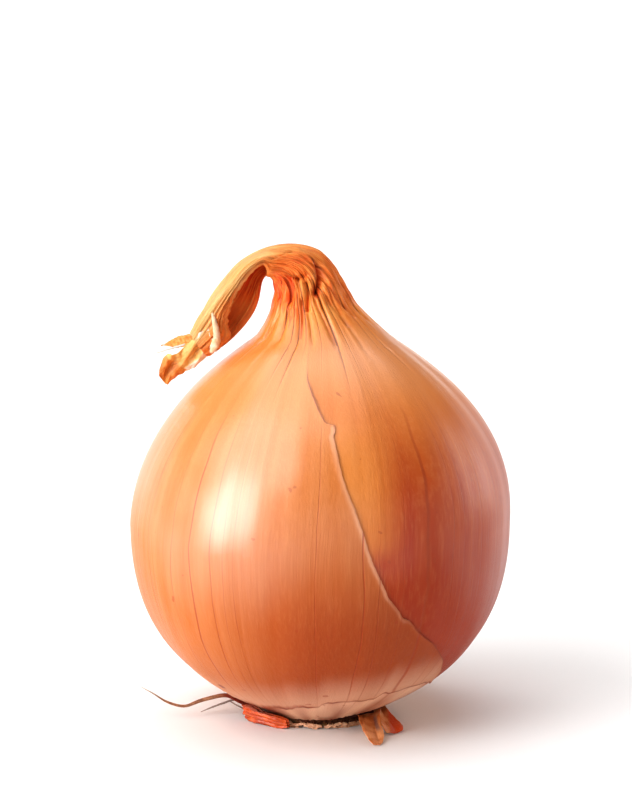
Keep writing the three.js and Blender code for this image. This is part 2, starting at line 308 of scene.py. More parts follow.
def neck_folds(angle, along):
    """Depth of the deep folds, in millimetres."""
    angle, along = np.broadcast_arrays(np.asarray(angle, float), np.asarray(along, float))
    turn = (angle - 90 + 180) % 360 - 90  # from -90 round to 270
    arc = np.radians(turn) * FOLD_GIRTH
    total = np.zeros(arc.shape)
    for run, width, depth in NECK_FOLDS:
        for (angle_a, along_a), (angle_b, along_b) in zip(run, run[1:]):
            start = np.array([math.radians(angle_a) * FOLD_GIRTH, along_a])
            step = np.array([math.radians(angle_b) * FOLD_GIRTH, along_b]) - start
            share = ((arc - start[0]) * step[0] + (along - start[1]) * step[1]) / (step @ step)
            share = np.clip(share, 0, 1)
            apart = np.hypot(arc - start[0] - share * step[0], along - start[1] - share * step[1])
            total = np.maximum(total, depth * np.exp(-((apart / width) ** 1.3)))
    return total


def relief(angle, along, shape):
    """How far the skin stands out from the plain form, in millimetres."""
    belly = smooth(along, 2, 16) * (1 - smooth(along, 70, 86))
    flutes = 0.07 * ripples(angle, along, 31, (7, 15), 0.03)
    flutes = flutes + 0.025 * ripples(angle, along, 32, (22, 40), 0.02)
    dents = 0.05 * ripples(angle, along, 33, (4, 16), 0.22)
    strength = pleat_strength(angle, along)
    bent = smooth(along, 89, 94) * (1 - smooth(along, 102, 108))
    pleats = -shape.pleat_depth / MM * furrow(angle, shape) * strength * (1 - 0.8 * bent)
    strands = (0.11 + 0.05 * bent) * strength * ripples(angle, along, 34, (30, 60), 0.15)
    strands = strands + 0.13 * bent * ripples(angle, along, 36, (60, 95), 0.25)
    pinched = smooth(along, 86, 91) * (1 - smooth(along, 94, 99))
    crumple = 0.16 * pinched * ripples(angle, along, 35, (8, 40), 1.6)
    return belly * (flutes + dents) + pleats + strands + crumple - neck_folds(angle, along)


# ---------------------------------------------------------------------------------------------------
# Meshes.


class MeshMaker:
    """Collects grids of points in millimetres, each with its grain and marks, and makes one object.

    Grain is (pleat phase, place lengthwise, local radius), and marks are (furrow, pale, red). The
    materials read both. They darken furrows and folds by the furrow mark as painted shade, and parts
    of the red mark are painted shade as well.
    """

    def __init__(self, name):
        self.name = name
        self.points = []
        self.normals = []
        self.grain = []
        self.marks = []
        self.faces = []
        self.count = 0

    def add(self, points, grain, marks, normals=None):
        """Adds points and returns their numbers, in the same layout."""
        numbers = self.count + np.arange(points[..., 0].size).reshape(points.shape[:-1])
        self.points.append(points.reshape(-1, 3))
        self.grain.append(np.broadcast_to(grain, points.shape).reshape(-1, 3))
        self.marks.append(np.broadcast_to(marks, points.shape).reshape(-1, 3))
        if normals is not None:
            self.normals.append(normals.reshape(-1, 3))
        self.count += numbers.size
        return numbers

    def skin(self, numbers, flip=False):
        """Fills a grid of numbers with faces."""
        a, b, c, d = numbers[:-1, :-1], numbers[:-1, 1:], numbers[1:, 1:], numbers[1:, :-1]
        order = (a, d, c, b) if flip else (a, b, c, d)
        self.faces.append(np.stack(order, -1).reshape(-1, 4))

    def strip(self, first, second):
        """Fills the gap between two matching lines of numbers."""
        self.faces.append(np.stack([first[:-1], first[1:], second[1:], second[:-1]], -1))

    def make(self, material, nodes=()):
        """Makes the object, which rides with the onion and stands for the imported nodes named."""
        mesh = bpy.data.meshes.new(self.name)
        points = np.concatenate(self.points) * MM
        mesh.from_pydata(points.tolist(), [], np.concatenate(self.faces).tolist())
        for label, rows in (("grain", self.grain), ("marks", self.marks)):
            layer = mesh.attributes.new(label, "FLOAT_VECTOR", "POINT")
            layer.data.foreach_set("vector", np.concatenate(rows).astype(np.float32).ravel())
        mesh.polygons.foreach_set("use_smooth", [True] * len(mesh.polygons))
        mesh.validate()
        if self.normals:
            mesh.normals_split_custom_set_from_vertices(np.concatenate(self.normals).tolist())
        mesh.materials.append(material)
        piece = bpy.data.objects.new(self.name, mesh)
        bpy.context.scene.collection.objects.link(piece)
        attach(piece, BODY)
        if nodes:
            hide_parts(*nodes)
        return piece


def thin_sheet(maker, top, bottom, grain, marks, normals=None):
    """Adds a closed sheet between two matching grids, top side first. The rim joins them."""
    inner_normals = None if normals is None else -normals
    upper = maker.add(top, grain, marks, normals)
    lower = maker.add(bottom, grain, marks, inner_normals)
    maker.skin(upper)
    maker.skin(lower, flip=True)
    maker.strip(lower[0], upper[0])
    maker.strip(upper[-1], lower[-1])
    maker.strip(upper[:, 0], lower[:, 0])
    maker.strip(lower[:, -1], upper[:, -1])


def add_thread(maker, points, radii, sides=10, marks=(0, 0, 0), seed=1, rough=0.12):
    """Adds a closed tapering thread through points. Radii are in millimetres, at the same places."""
    steps = 9 * (len(points) - 1)
    share = np.linspace(0, 1, steps + 1)
    path = spline(points, share)
    radius = spline([(value,) for value in radii], share)[:, 0]
    forward = np.gradient(path, axis=0)
    forward /= np.linalg.norm(forward, axis=1, keepdims=True)
    across = np.cross(forward, (0, 0, 1))
    across /= np.maximum(np.linalg.norm(across, axis=1, keepdims=True), 1e-6)
    raised = np.cross(forward, across)
    turn = np.linspace(0, 2 * np.pi, sides + 1)[:-1]
    length = share * 20
    wobble = 1 + rough * ripples(np.degrees(turn)[None, :], length[:, None], seed, (1, 3), 2.5)
    ring = across[:, None] * np.cos(turn)[None, :, None] + raised[:, None] * np.sin(turn)[None, :, None]
    tube = path[:, None] + ring * (radius[:, None] * wobble)[..., None]
    tube[..., 2] = np.maximum(tube[..., 2], 0.01)
    grain = np.stack(np.broadcast_arrays(turn[None, :] * 3, length[:, None], radius[:, None]), -1)
    numbers = maker.add(tube, grain, marks)
    closed = np.concatenate([numbers, numbers[:, :1]], axis=1)
    maker.skin(closed, flip=True)
    for row, end, flip in ((0, path[0], False), (-1, path[-1], True)):
        middle = maker.add(end[None], grain[row, :1], marks)
        fan = np.stack([closed[row][:-1], closed[row][1:], np.repeat(middle, sides)], -1)
        if flip:
            fan = fan[:, ::-1]
        maker.faces.append(np.concatenate([fan, fan[:, -1:]], axis=1))


def ribbon_grid(stations, rows, columns, outline=None):
    """The middle surface of a bent strip through stations (middle, half width as a vector). Returns
    its points, its unit normals, and millimetre coordinates along and across it."""
    share = np.linspace(0, 1, rows)
    middle = spline([station[0] for station in stations], share)
    half = spline([station[1] for station in stations], share)
    side = np.linspace(-1, 1, columns)
    reach = np.ones_like(share) if outline is None else outline(share)
    points = middle[:, None] + half[:, None] * (side[None, :, None] * reach[:, None, None])
    normals = grid_normals(points)
    length = np.concatenate([[0], np.cumsum(np.linalg.norm(np.diff(middle, axis=0), axis=1))])
    width = np.linalg.norm(half, axis=1)
    along, across = np.broadcast_arrays(length[:, None], side[None, :] * width[:, None])
    return points, normals, along, across


# ---------------------------------------------------------------------------------------------------
# Materials.


class Wire:
    """A value on its way through a material's nodes. Arithmetic on it adds the node that works it out."""

    def __init__(self, recipe, socket):
        self.recipe = recipe
        self.socket = socket

    def __add__(self, other):
        return self.recipe.math("ADD", self, other)

    def __sub__(self, other):
        return self.recipe.math("SUBTRACT", self, other)

    def __mul__(self, other):
        return self.recipe.math("MULTIPLY", self, other)

    def __truediv__(self, other):
        return self.recipe.math("DIVIDE", self, other)

    def __abs__(self):
        return self.recipe.math("ABSOLUTE", self)


class Recipe:
    """A material and short ways to add and join its nodes."""

    def __init__(self, name):
        self.material = bpy.data.materials.new(name)
        self.material.use_nodes = True
        self.nodes = self.material.node_tree.nodes
        self.links = self.material.node_tree.links
        self.nodes.clear()
        self.surface = self.nodes.new("ShaderNodeBsdfPrincipled")
        output = self.nodes.new("ShaderNodeOutputMaterial")
        self.links.new(self.surface.outputs[0], output.inputs["Surface"])

    def feed(self, socket, value):
        """Links a wire to a socket, or sets a number or colour on it."""
        if isinstance(value, Wire):
            self.links.new(value.socket, socket)
        elif socket.type == "RGBA" and len(value) == 3:
            socket.default_value = (*value, 1.0)
        else:
            socket.default_value = value

    def node(self, kind, inputs, output=0, **settings):
        """Adds a node, sets it up, feeds its inputs by number or label and gives the wire out of it."""
        node = self.nodes.new("ShaderNode" + kind)
        for label, value in settings.items():
            setattr(node, label, value)
        for label, value in inputs.items():
            self.feed(node.inputs[label], value)
        return Wire(self, node.outputs[output])

    def math(self, operation, *values):
        return self.node("Math", dict(enumerate(values)), operation=operation)

    def smooth(self, value, low, high, bottom=0.0, top=1.0):
        """Bottom up to low, top from high on, and a smooth rise between."""
        numbers = dict(enumerate((value, low, high, bottom, top)))
        return self.node("MapRange", numbers, interpolation_type="SMOOTHSTEP")

    def mix(self, share, first, second):
        return self.node("Mix", {0: share, 6: first, 7: second}, 2, data_type="RGBA")

    def vector(self, x, y, z=0.0):
        return self.node("CombineXYZ", {0: x, 1: y, 2: z})

    def parts(self, vector):
        split = self.nodes.new("ShaderNodeSeparateXYZ")
        self.feed(split.inputs[0], vector)
        return [Wire(self, socket) for socket in split.outputs]

    def attribute(self, name):
        return self.parts(self.node("Attribute", {}, "Vector", attribute_name=name))

    def place(self):
        return self.node("TexCoord", {}, "Object")

    def noise(self, vector, scale, detail=2.0, roughness=0.5):
        inputs = {"Vector": vector, "Scale": scale, "Detail": detail, "Roughness": roughness}
        return self.node("TexNoise", inputs)

    def speckle(self, value):
        """A random number of its own for each whole value."""
        return self.node("TexWhiteNoise", {"W": value}, noise_dimensions="1D")

    def cells(self, vector, scale):
        return self.node("TexVoronoi", {"Vector": vector, "Scale": scale}, "Distance")

    def bump(self, height, distance):
        return self.node("Bump", {"Height": height, "Distance": distance * MM})

    def finish(self, colour, roughness, normal, **constants):
        """Feeds the surface, sets its other numbers on its own sockets and gives the material."""
        self.feed(self.surface.inputs["Base Color"], colour)
        self.feed(self.surface.inputs["Roughness"], roughness)
        self.feed(self.surface.inputs["Normal"], normal)
        for label, value in constants.items():
            self.surface.inputs[label.replace("_", " ")].default_value = value
        return self.material


def skin_material(name, shape, colours, light, deep, low, gloss, shine=1.0, leafy=False):
    """Dry onion skin: shiny, with fine fibres lengthwise, dark veins, furrows darkened as painted shade,
    and soft blotches. The lower half is darker and redder as painted shade. Leafy skin turns into the
    withered leaf past the neck."""
    recipe = Recipe(name)
    phase, along, girth = recipe.attribute("grain")
    furrowed, pale, red = recipe.attribute("marks")
    place = recipe.place()

    # Veins: the distance to the nearest one, in millimetres, and a strength of its own for each.
    wander = recipe.noise(recipe.vector(phase * 0.35, along * 0.05), 1.0)
    wound = phase + (wander - 0.5) * 0.7
    turns = wound / (math.pi / 2)
    number = recipe.math("ROUND", turns)
    pitch = girth * (math.pi / shape.pleat_count)
    apart = abs(turns - number) * pitch
    own = recipe.speckle(number)
    broken = recipe.noise(recipe.vector(number, along * 0.06), 1.0, 2.0)
    line = recipe.smooth(apart, 0.17, 0.03)
    kept = recipe.smooth(own * broken, 0.08, 0.45, 0.06, 0.75)
    kept = kept * (recipe.smooth(along, 74, 56) * recipe.smooth(along, 3, 18, 0.2, 1.0))
    vein = line * kept

    # Furrows of the pleats, where the marks say that there are pleats. Their bottoms are painted dark as
    # shade, and dented in the bump.
    pleats = phase / math.pi
    pleat = recipe.math("ROUND", pleats)
    off = abs(pleats - pleat) * pitch * 2.0
    share = recipe.smooth(recipe.speckle(pleat + 0.37), 0.1, 0.8, 0.2, 1.0)
    shown = recipe.math("MINIMUM", furrowed, 1.0) * share
    groove = recipe.smooth(off, 0.2, 0.03) * shown

    # Fine fibres, much longer than they are wide.
    fibre_place = recipe.vector(phase * 3.2, along * 0.05, girth)
    fibre = recipe.noise(fibre_place, 1.6, 4.0, 0.62)
    streak_place = recipe.vector(phase * 0.9, along * 0.022)
    streak = recipe.noise(streak_place, 1.0, 2.0, 0.5)
    cloud = recipe.noise(place, 45.0, 3.0, 0.55)
    pore = recipe.noise(place, 1500.0, 2.0, 0.6)

    tone = streak * 0.55 + cloud * 0.45
    blend = recipe.smooth(tone, 0.28, 0.72)
    colour = recipe.mix(blend, deep, light)
    # Painted shade: the lower half, most of all on the right away from the key light, takes the darker,
    # redder low colour.
    across = recipe.parts(place)[0]
    low_right_shade = recipe.smooth(across, -30 * MM, 0.0, 0.3, 1.0)
    colour = recipe.mix(low_right_shade * recipe.smooth(along, 60, 24, 0.0, 0.95), colour, low)
    shoulder = recipe.mix(blend, colours.shoulder_deep, colours.shoulder)
    colour = recipe.mix(recipe.smooth(along, 52, 79), colour, shoulder)
    lit = recipe.smooth(fibre, 0.42, 0.78, 0.0, 0.16) * recipe.smooth(along, 12, 52, 0.25, 1.0)
    colour = recipe.mix(lit, colour, colours.fibre)
    roughness = recipe.smooth(fibre, 0.2, 0.8, gloss, gloss + 0.1)
    height = fibre * 0.55

    if leafy:
        strand = recipe.noise(recipe.vector(phase * 2.1, along * 0.07, girth), 1.4, 4.0, 0.6)
        patchy = strand * 0.55 + recipe.noise(place, 150.0, 3.0, 0.6) * 0.45
        bleached = recipe.mix(recipe.smooth(patchy, 0.36, 0.62), colours.straw, colours.cream)
        reach = pale + (patchy - 0.5) * 1.1
        orange = recipe.mix(recipe.smooth(patchy, 0.38, 0.6), colours.neck_deep, colours.neck)
        leaf = recipe.mix(recipe.smooth(reach, 0.15, 0.8), orange, bleached)
        leaf = recipe.mix(recipe.smooth(strand, 0.52, 0.7, 0.0, 0.55), leaf, colours.neck_deep)
        colour = recipe.mix(recipe.smooth(along, 80, 90), colour, leaf)
        inside = recipe.mix(recipe.smooth(patchy, 0.38, 0.56), colours.hollow, colours.rust)
        inside = recipe.mix(recipe.smooth(strand, 0.52, 0.64, 0.0, 0.45), inside, colours.neck)
        inside = recipe.mix(recipe.smooth(along, 110, 116, 0.0, 0.4), inside, colours.neck)
        colour = recipe.mix(red, colour, inside)
        # Painted shade: the neck's deep folds are darkened to hollow red, and the deepest to furrow brown.
        colour = recipe.mix(recipe.smooth(furrowed, 1.0, 1.9, 0.0, 0.8), colour, colours.hollow)
        colour = recipe.mix(recipe.smooth(furrowed, 1.9, 2.8, 0.0, 0.8), colour, colours.furrow)
        roughness = roughness + recipe.smooth(along, 82, 96, 0.0, 0.12)
        height = height + strand * recipe.smooth(along, 84, 98, 0.0, 1.6)
    else:
        colour = recipe.mix(pale, colour, colours.ring)
        # The red mark: dry torn edges, a dark flake and reddish streaks at the base, and painted shade along
        # the lifted front edge and at the bulb's lower left.
        colour = recipe.mix(red * 0.85, colour, colours.edge)
        colour = recipe.mix(vein, colour, colours.vein)
        # Dark crust at the bulb's foot: partly real crust, partly painted shadow under the bulb.
        colour = recipe.mix(recipe.smooth(furrowed, 1.4, 2.4), colour, colours.crust)
        fleck = recipe.smooth(recipe.noise(place, 420.0, 1.0), 0.76, 0.79, 0.0, 0.5)
        colour = recipe.mix(fleck, colour, colours.vein)
        roughness = roughness + pale * 0.15
    # Painted shade: the pleats' furrows are darkened to the furrow colour.
    colour = recipe.mix(groove * 0.75, colour, colours.furrow)

    height = height + streak * 0.8 - vein * 0.4 - groove * 1.4 + pore * 0.05
    # The dusty lower half and the dark crust are duller than the shoulders. The gloss is rubbed off
    # higher up in front and at the far left, and reaches lowest at the right.
    crusted = recipe.smooth(furrowed, 1.4, 2.4, 1.0, 0.0)
    rubbed = along - recipe.smooth(across, -14 * MM, 2 * MM, 0.0, 11.0)
    rubbed = rubbed - recipe.smooth(across, -27 * MM, -38 * MM, 0.0, 14.0)
    rubbed = rubbed + recipe.smooth(across, 20 * MM, 34 * MM, 0.0, 18.0)
    upper = recipe.smooth(along, 56, 76) * recipe.smooth(along, 68, 80, 0.25 + 0.75 * shine, 1.0)
    coat = recipe.math("MAXIMUM", recipe.smooth(rubbed, 25, 42, 0.05, shine), upper)
    coat = coat * recipe.smooth(along, 76, 90, 1.0, 0.15)
    recipe.feed(recipe.surface.inputs["Coat Weight"], coat * crusted)
    roughness = roughness + recipe.smooth(furrowed, 1.4, 2.4, 0.0, 0.4)
    return recipe.finish(
        colour, roughness, recipe.bump(height, 0.16), IOR=1.27, Coat_Roughness=0.31, Coat_IOR=1.75
    )


def leaf_material(name, colours):
    """Withered, crumpled leaf end: orange and brown, bleached to cream and paper white."""
    recipe = Recipe(name)
    phase, along, girth = recipe.attribute("grain")
    furrowed, pale, red = recipe.attribute("marks")
    place = recipe.place()
    fibre_place = recipe.vector(phase * 2.2, along * 0.3, girth)
    fibre = recipe.noise(fibre_place, 1.0, 4.0, 0.6)
    cloud = recipe.noise(place, 260.0, 3.0, 0.6)
    crinkle = recipe.noise(place, 900.0, 3.0, 0.6)
    tone = fibre * 0.5 + cloud * 0.5
    spread = (tone - 0.5) * 1.2
    colour = recipe.mix(recipe.smooth(pale + spread, 0.1, 0.6), colours.straw_deep, colours.straw)
    colour = recipe.mix(recipe.smooth(pale + spread, 0.5, 1.0), colour, colours.paper)
    colour = recipe.mix(
        red, colour, recipe.mix(recipe.smooth(tone, 0.38, 0.6), colours.tan_deep, colours.tan)
    )
    colour = recipe.mix(recipe.smooth(fibre, 0.56, 0.74, 0.0, 0.5), colour, colours.tan_deep)
    colour = recipe.mix(recipe.math("MINIMUM", furrowed, 1.0), colour, colours.hollow)
    height = fibre * 0.8 + crinkle * 0.3
    roughness = recipe.smooth(fibre, 0.2, 0.8, 0.42, 0.6)
    return recipe.finish(
        colour, roughness, recipe.bump(height, 0.2), IOR=1.45, Coat_Weight=0.1, Coat_Roughness=0.25
    )


def torn_material(name, colours, light, deep):
    """Torn, folded skin at the base: orange with streaks, brown at its dry edges.
    On the rag's upper edge, under the bulb, the darker red and brown are painted shade.
    """
    recipe = Recipe(name)
    phase, along, _ = recipe.attribute("grain")
    furrowed, pale, red = recipe.attribute("marks")
    place = recipe.place()
    fibre = recipe.noise(recipe.vector(phase * 3.0, along * 0.25), 1.0, 4.0, 0.6)
    cloud = recipe.noise(place, 300.0, 3.0, 0.6)
    colour = recipe.mix(recipe.smooth(cloud, 0.35, 0.65), deep, light)
    colour = recipe.mix(recipe.smooth(fibre, 0.45, 0.7, 0.0, 0.35), colour, colours.straw_deep)
    colour = recipe.mix(pale, colour, colours.bruise)
    colour = recipe.mix(red, colour, colours.hollow)
    colour = recipe.mix(recipe.math("MINIMUM", furrowed, 1.0), colour, colours.furrow)
    height = fibre + recipe.noise(place, 1800.0, 2.0) * 0.25
    roughness = recipe.smooth(cloud, 0.3, 0.7, 0.34, 0.5)
    return recipe.finish(
        colour, roughness, recipe.bump(height, 0.18), IOR=1.47, Coat_Weight=0.2, Coat_Roughness=0.2
    )


def cork_material(name, colours):
    """The root plate: pale and corky, with rings and darker pits."""
    recipe = Recipe(name)
    place = recipe.place()
    furrowed, pale, red = recipe.attribute("marks")
    grains = recipe.noise(place, 1400.0, 4.0, 0.7)
    pits = recipe.cells(place, 900.0)
    cloud = recipe.noise(place, 180.0, 3.0)
    colour = recipe.mix(recipe.smooth(cloud, 0.35, 0.65), colours.cork, colours.cream)
    colour = recipe.mix(recipe.smooth(grains, 0.52, 0.72, 0.0, 0.7), colour, colours.root)
    colour = recipe.mix(pale, colour, colours.ring)
    colour = recipe.mix(red, colour, colours.edge)
    # Dark spots on the plate's rim, and the crust sheet's darkness, which is partly painted shadow under the
    # bulb.
    colour = recipe.mix(recipe.math("MINIMUM", furrowed, 1.0), colour, colours.crust)
    height = grains + pits * 0.8
    return recipe.finish(
        colour, recipe.smooth(grains, 0.3, 0.7, 0.75, 0.95), recipe.bump(height, 0.3), IOR=1.15
    )


def root_material(name, colours, tip):
    """A dry root: brown with darker rings, dark red at its foot, with a tip of another colour."""
    recipe = Recipe(name)
    phase, along, _ = recipe.attribute("grain")
    _, pale, red = recipe.attribute("marks")
    place = recipe.place()
    bark = recipe.noise(place, 900.0, 3.0, 0.6)
    rings = recipe.noise(recipe.vector(phase * 0.2, along * 1.6), 1.0, 2.0)
    colour = recipe.mix(recipe.smooth(bark, 0.35, 0.7), colours.root, colours.root_light)
    colour = recipe.mix(recipe.smooth(rings, 0.5, 0.72, 0.0, 0.5), colour, colours.crust)
    colour = recipe.mix(pale, colour, tip)
    colour = recipe.mix(red, colour, colours.edge)
    height = bark + rings * 0.6
    return recipe.finish(colour, recipe.smooth(bark, 0.3, 0.7, 0.5, 0.75), recipe.bump(height, 0.1), IOR=1.45)


def floor_material(name, colours):
    """Plain pale paper with a barely seen grain."""
    recipe = Recipe(name)
    place = recipe.place()
    grain = recipe.noise(place, 60.0, 3.0)
    shade = tuple(0.985 * part for part in colours.floor)
    colour = recipe.mix(grain, shade, colours.floor)
    return recipe.finish(colour, recipe.smooth(grain, 0.3, 0.7, 0.82, 0.9), recipe.bump(grain, 0.05), IOR=1.3)


# ---------------------------------------------------------------------------------------------------
# Settings.


def colour_setting(label, about, value):
    """A colour that a user can change. The numbers are linear red, green and blue."""
    return FloatVectorProperty(
        name=label, description=about, subtype="COLOR", size=3, min=0, max=1, default=value
    )


class OnionShape(bpy.types.PropertyGroup):
    """Sizes of the bulb, its skins and its neck."""

    belly_radius: FloatProperty(
        name="Belly radius", description="Radius of the widest ring", default=-SKIN_LOW[0] * MM, unit="LENGTH"
    )
    plate_height: FloatProperty(
        name="Plate height", description="Height of the root plate", default=PLATE_HIGH[2] * MM, unit="LENGTH"
    )
    plate_radius: FloatProperty(
        name="Plate radius", description="Radius of the root plate", default=PLATE_HIGH[0] * MM, unit="LENGTH"
    )
    pleat_count: IntProperty(
        name="Pleats", description="Pleats round the neck, an even number", default=34, min=8, max=80
    )
    pleat_depth: FloatProperty(
        name="Pleat depth", description="Depth of the neck's furrows", default=0.7 * MM, unit="LENGTH"
    )
    skin_thickness: FloatProperty(
        name="Skin thickness", description="Thickness of the outer skin", default=0.14 * MM, unit="LENGTH"
    )
    skin_lift: FloatProperty(
        name="Skin lift", description="Gap below the outer skin", default=0.16 * MM, unit="LENGTH"
    )


class OnionColours(bpy.types.PropertyGroup):
    """Colours of the onion and its studio."""

    skin: colour_setting("Skin", "Outer skin where it is light", (0.65, 0.240, 0.082))
    skin_deep: colour_setting("Deep skin", "Outer skin where it is darker", (0.54, 0.155, 0.026))
    # The low colours are painted shade: the skin darker and redder on the lower half, where less light falls.
    skin_low_shade: colour_setting("Low skin", "Outer skin on the lower half", (0.32, 0.046, 0.003))
    # The under skin shows on the bulb's right, away from the key light: its deep red is partly its own colour
    # and partly painted shade.
    under: colour_setting("Under skin", "The skin below, where it is light", (0.50, 0.085, 0.009))
    under_deep: colour_setting("Deep under skin", "The skin below, where it is dark", (0.38, 0.032, 0.003))
    # Painted shade of the lower half, as for the low skin.
    under_low_shade: colour_setting("Low under skin", "The skin below, on the lower half", (0.33, 0.031, 0.003))
    shoulder: colour_setting("Shoulder", "Both skins below the neck", (0.70, 0.245, 0.058))
    shoulder_deep: colour_setting("Deep shoulder", "Both skins below the neck, darker", (0.65, 0.205, 0.036))
    fibre: colour_setting("Fibre", "Light fibres in the skin", (0.78, 0.33, 0.12))
    vein: colour_setting("Vein", "Thin veins of the skin", (0.34, 0.045, 0.007))
    # The furrow colour is painted shade in the pleats and the neck's deepest folds, and on the torn rag's
    # upper edge.
    furrow: colour_setting("Furrow", "Bottom of the pleats", (0.20, 0.030, 0.005))
    cream: colour_setting("Cream", "Bleached leaf and the pale ring round the base", (0.74, 0.46, 0.20))
    ring: colour_setting("Ring", "Pale ring of skin round the base", (0.84, 0.50, 0.33))
    paper: colour_setting("Paper", "Leaf bleached almost white", (0.86, 0.66, 0.52))
    straw: colour_setting("Straw", "Straw yellow of the withered leaf", (0.76, 0.42, 0.13))
    straw_deep: colour_setting("Deep straw", "Darker straw of the leaf tips", (0.68, 0.27, 0.050))
    tan: colour_setting("Tan", "Orange tan of the leaf tips", (0.78, 0.30, 0.060))
    tan_deep: colour_setting("Deep tan", "Darker tan of the leaf tips", (0.60, 0.17, 0.022))
    neck: colour_setting("Neck", "Neck where it is light", (0.84, 0.34, 0.085))
    neck_deep: colour_setting("Deep neck", "Neck where it is dark", (0.70, 0.17, 0.022))
    # The hollow colour is also painted shade in the neck's deep folds and on the torn rag's upper edge.
    hollow: colour_setting("Hollow", "Inside of the bent leaf", (0.64, 0.070, 0.008))
    rust: colour_setting("Rust", "Dry reddish edges", (0.86, 0.15, 0.016))
    torn: colour_setting("Torn skin", "Torn skin at the base", (0.76, 0.115, 0.010))
    torn_deep: colour_setting("Deep torn skin", "Torn skin where it is dark", (0.46, 0.042, 0.004))
    tab: colour_setting("Tab", "Torn tabs at the front", (0.88, 0.42, 0.19))
    tab_deep: colour_setting("Deep tab", "Torn tabs where they are dark", (0.64, 0.19, 0.045))
    # The edge colour also stands for painted shade: the shadow line along the outer skin's upper front edge,
    # and the lower left of the bulb and its crust above the torn skin.
    edge: colour_setting("Edge", "Dry torn edge of the outer skin", (0.22, 0.022, 0.005))
    bruise: colour_setting("Bruise", "Grey-violet streak on the torn skin", (0.24, 0.13, 0.12))
    cork: colour_setting("Cork", "Root plate", (0.72, 0.36, 0.21))
    # The crust colour is partly real crust and partly painted shadow at the bulb's foot; the roots' darker
    # rings use it too.
    crust: colour_setting("Crust", "Dark crust round the root plate", (0.045, 0.010, 0.005))
    root: colour_setting("Root", "Dry roots", (0.20, 0.07, 0.028))
    root_light: colour_setting("Light root", "Dry roots where they are light", (0.36, 0.17, 0.085))
    root_tip: colour_setting("Root tip", "Pale thin end of a root", (0.55, 0.46, 0.38))
    grey_root: colour_setting("Grey root", "Thin grey roots", (0.30, 0.24, 0.21))
    floor: colour_setting("Floor", "Floor and backdrop", (0.91, 0.91, 0.91))


class OnionStudio(bpy.types.PropertyGroup):
    """The camera and the lights."""

    distance: FloatProperty(
        name="Distance", description="Camera to the middle of the bulb", default=0.45, unit="LENGTH"
    )
    elevation: FloatProperty(
        name="Elevation", description="Camera's height as an angle", default=math.radians(12), subtype="ANGLE"
    )
    lens: FloatProperty(name="Lens", description="Focal length in millimetres", default=95.5)
    key_glow: FloatProperty(name="Key", description="Glow of the key light on the left", default=8.4)
    high_glow: FloatProperty(name="High", description="Glow of the light high on the left", default=2.7)
    side_glow: FloatProperty(name="Side", description="Glow of the light on the right", default=3.35)
    overhead_glow: FloatProperty(name="Overhead", description="Glow of the overhead light", default=1.55)
    backdrop_glow: FloatProperty(name="Backdrop", description="Glow of the backdrop's own light", default=6.5)
    sky: FloatProperty(name="Sky", description="Strength of the even light from all round", default=0.12)


# ---------------------------------------------------------------------------------------------------
# The skins.

SKIN_TOP = SKIN_HIGH[2]
JOIN_HEIGHT = 79.4  # where the neck's own skin begins, over the tops of the bulb and the outer skin


def lower_edge(angle):
    """Height of the outer skin's torn lower edge. It steps up at the front and again on the right."""
    turn = np.radians(angle)
    plain = 7.6 + 3.0 * np.sin(turn + 0.26) + 0.4 * np.sin(5 * turn + 1)
    near = signed(angle)
    steps = 1.5 * between(near, 24, 27, 62, 46) - 0.55 * between(near, 0.6, -0.6, -60, -40)
    rough = 0.20 * ring_ripples(angle, 41, (12, 30)) + 0.12 * ring_ripples(angle, 42, (50, 90))
    return plain + steps + rough


def front_edge(height):
    """Angle of the outer skin's open front edge at a height."""
    heights, angles = zip(*FRONT_EDGE[::-1])
    frayed = 0.10 * np.sin(height * 1.9 + 1) * np.sin(height * 0.7) + 0.05 * np.sin(height * 5.3)
    return np.interp(height, heights, angles) + frayed * smooth(height, 76, 70)


def back_edge(height):
    """Angle of the other open edge, on the back of the bulb."""
    share = np.clip((SKIN_TOP - height) / (SKIN_TOP - 8.0), 0, 1)
    return BACK_EDGE_ANGLE + 6 * np.sin(3 * share) + 3 * np.sin(9 * share) + 0.4 * np.sin(height * 2.1)


def tucked(height):
    """How far the tops of the bulb and the outer skin dip below the neck's skin, in millimetres."""
    return 0.35 * smooth(height, JOIN_HEIGHT + 0.1, JOIN_HEIGHT + 0.9)


def crust_reach(angle):
    """Height to which the dark crust climbs the bulb: most at the front right, least at the left.
    It is partly real crust and partly painted shadow under the bulb's foot.
    """
    near = signed(angle)
    heavy = between(near, -10, 42, 100, 72)
    jag = 0.22 * ring_ripples(angle, 52, (40, 90)) + 0.15 * ring_ripples(angle, 53, (90, 150))
    return 1.3 + 2.1 * heavy + jag * (1 - 0.5 * heavy)


def bulb_marks(angle, height):
    """Furrow, pale and red marks of the skin under the outer one."""
    edge = lower_edge(angle)
    near = signed(angle)
    pale = smooth(height, edge + 1.0, edge - 1.2) * (0.8 + 0.2 * ripples(angle, height, 51, (10, 30), 0.5))
    # Painted shade: the lower left of the bulb, above the torn skin, is darkened to the edge's dark red.
    left = between(near, -20, -34, -85, -60)
    red = smooth(height, 3.6, 1.8) * (0.25 + 0.6 * np.clip(ripples(angle, height, 54, (8, 24), 0.4), 0, 1))
    red = np.maximum(red, left * smooth(height, 6.4, 5.4))
    # The dark crust at the foot: partly real crust, partly painted shadow.
    crust = 3.0 * smooth(height, crust_reach(angle) + 0.12, crust_reach(angle) - 0.12)
    marks = np.stack([np.maximum(pleat_strength(angle, height + 5), crust), pale, red], -1)
    return np.clip(marks, 0, (3, 1, 1))


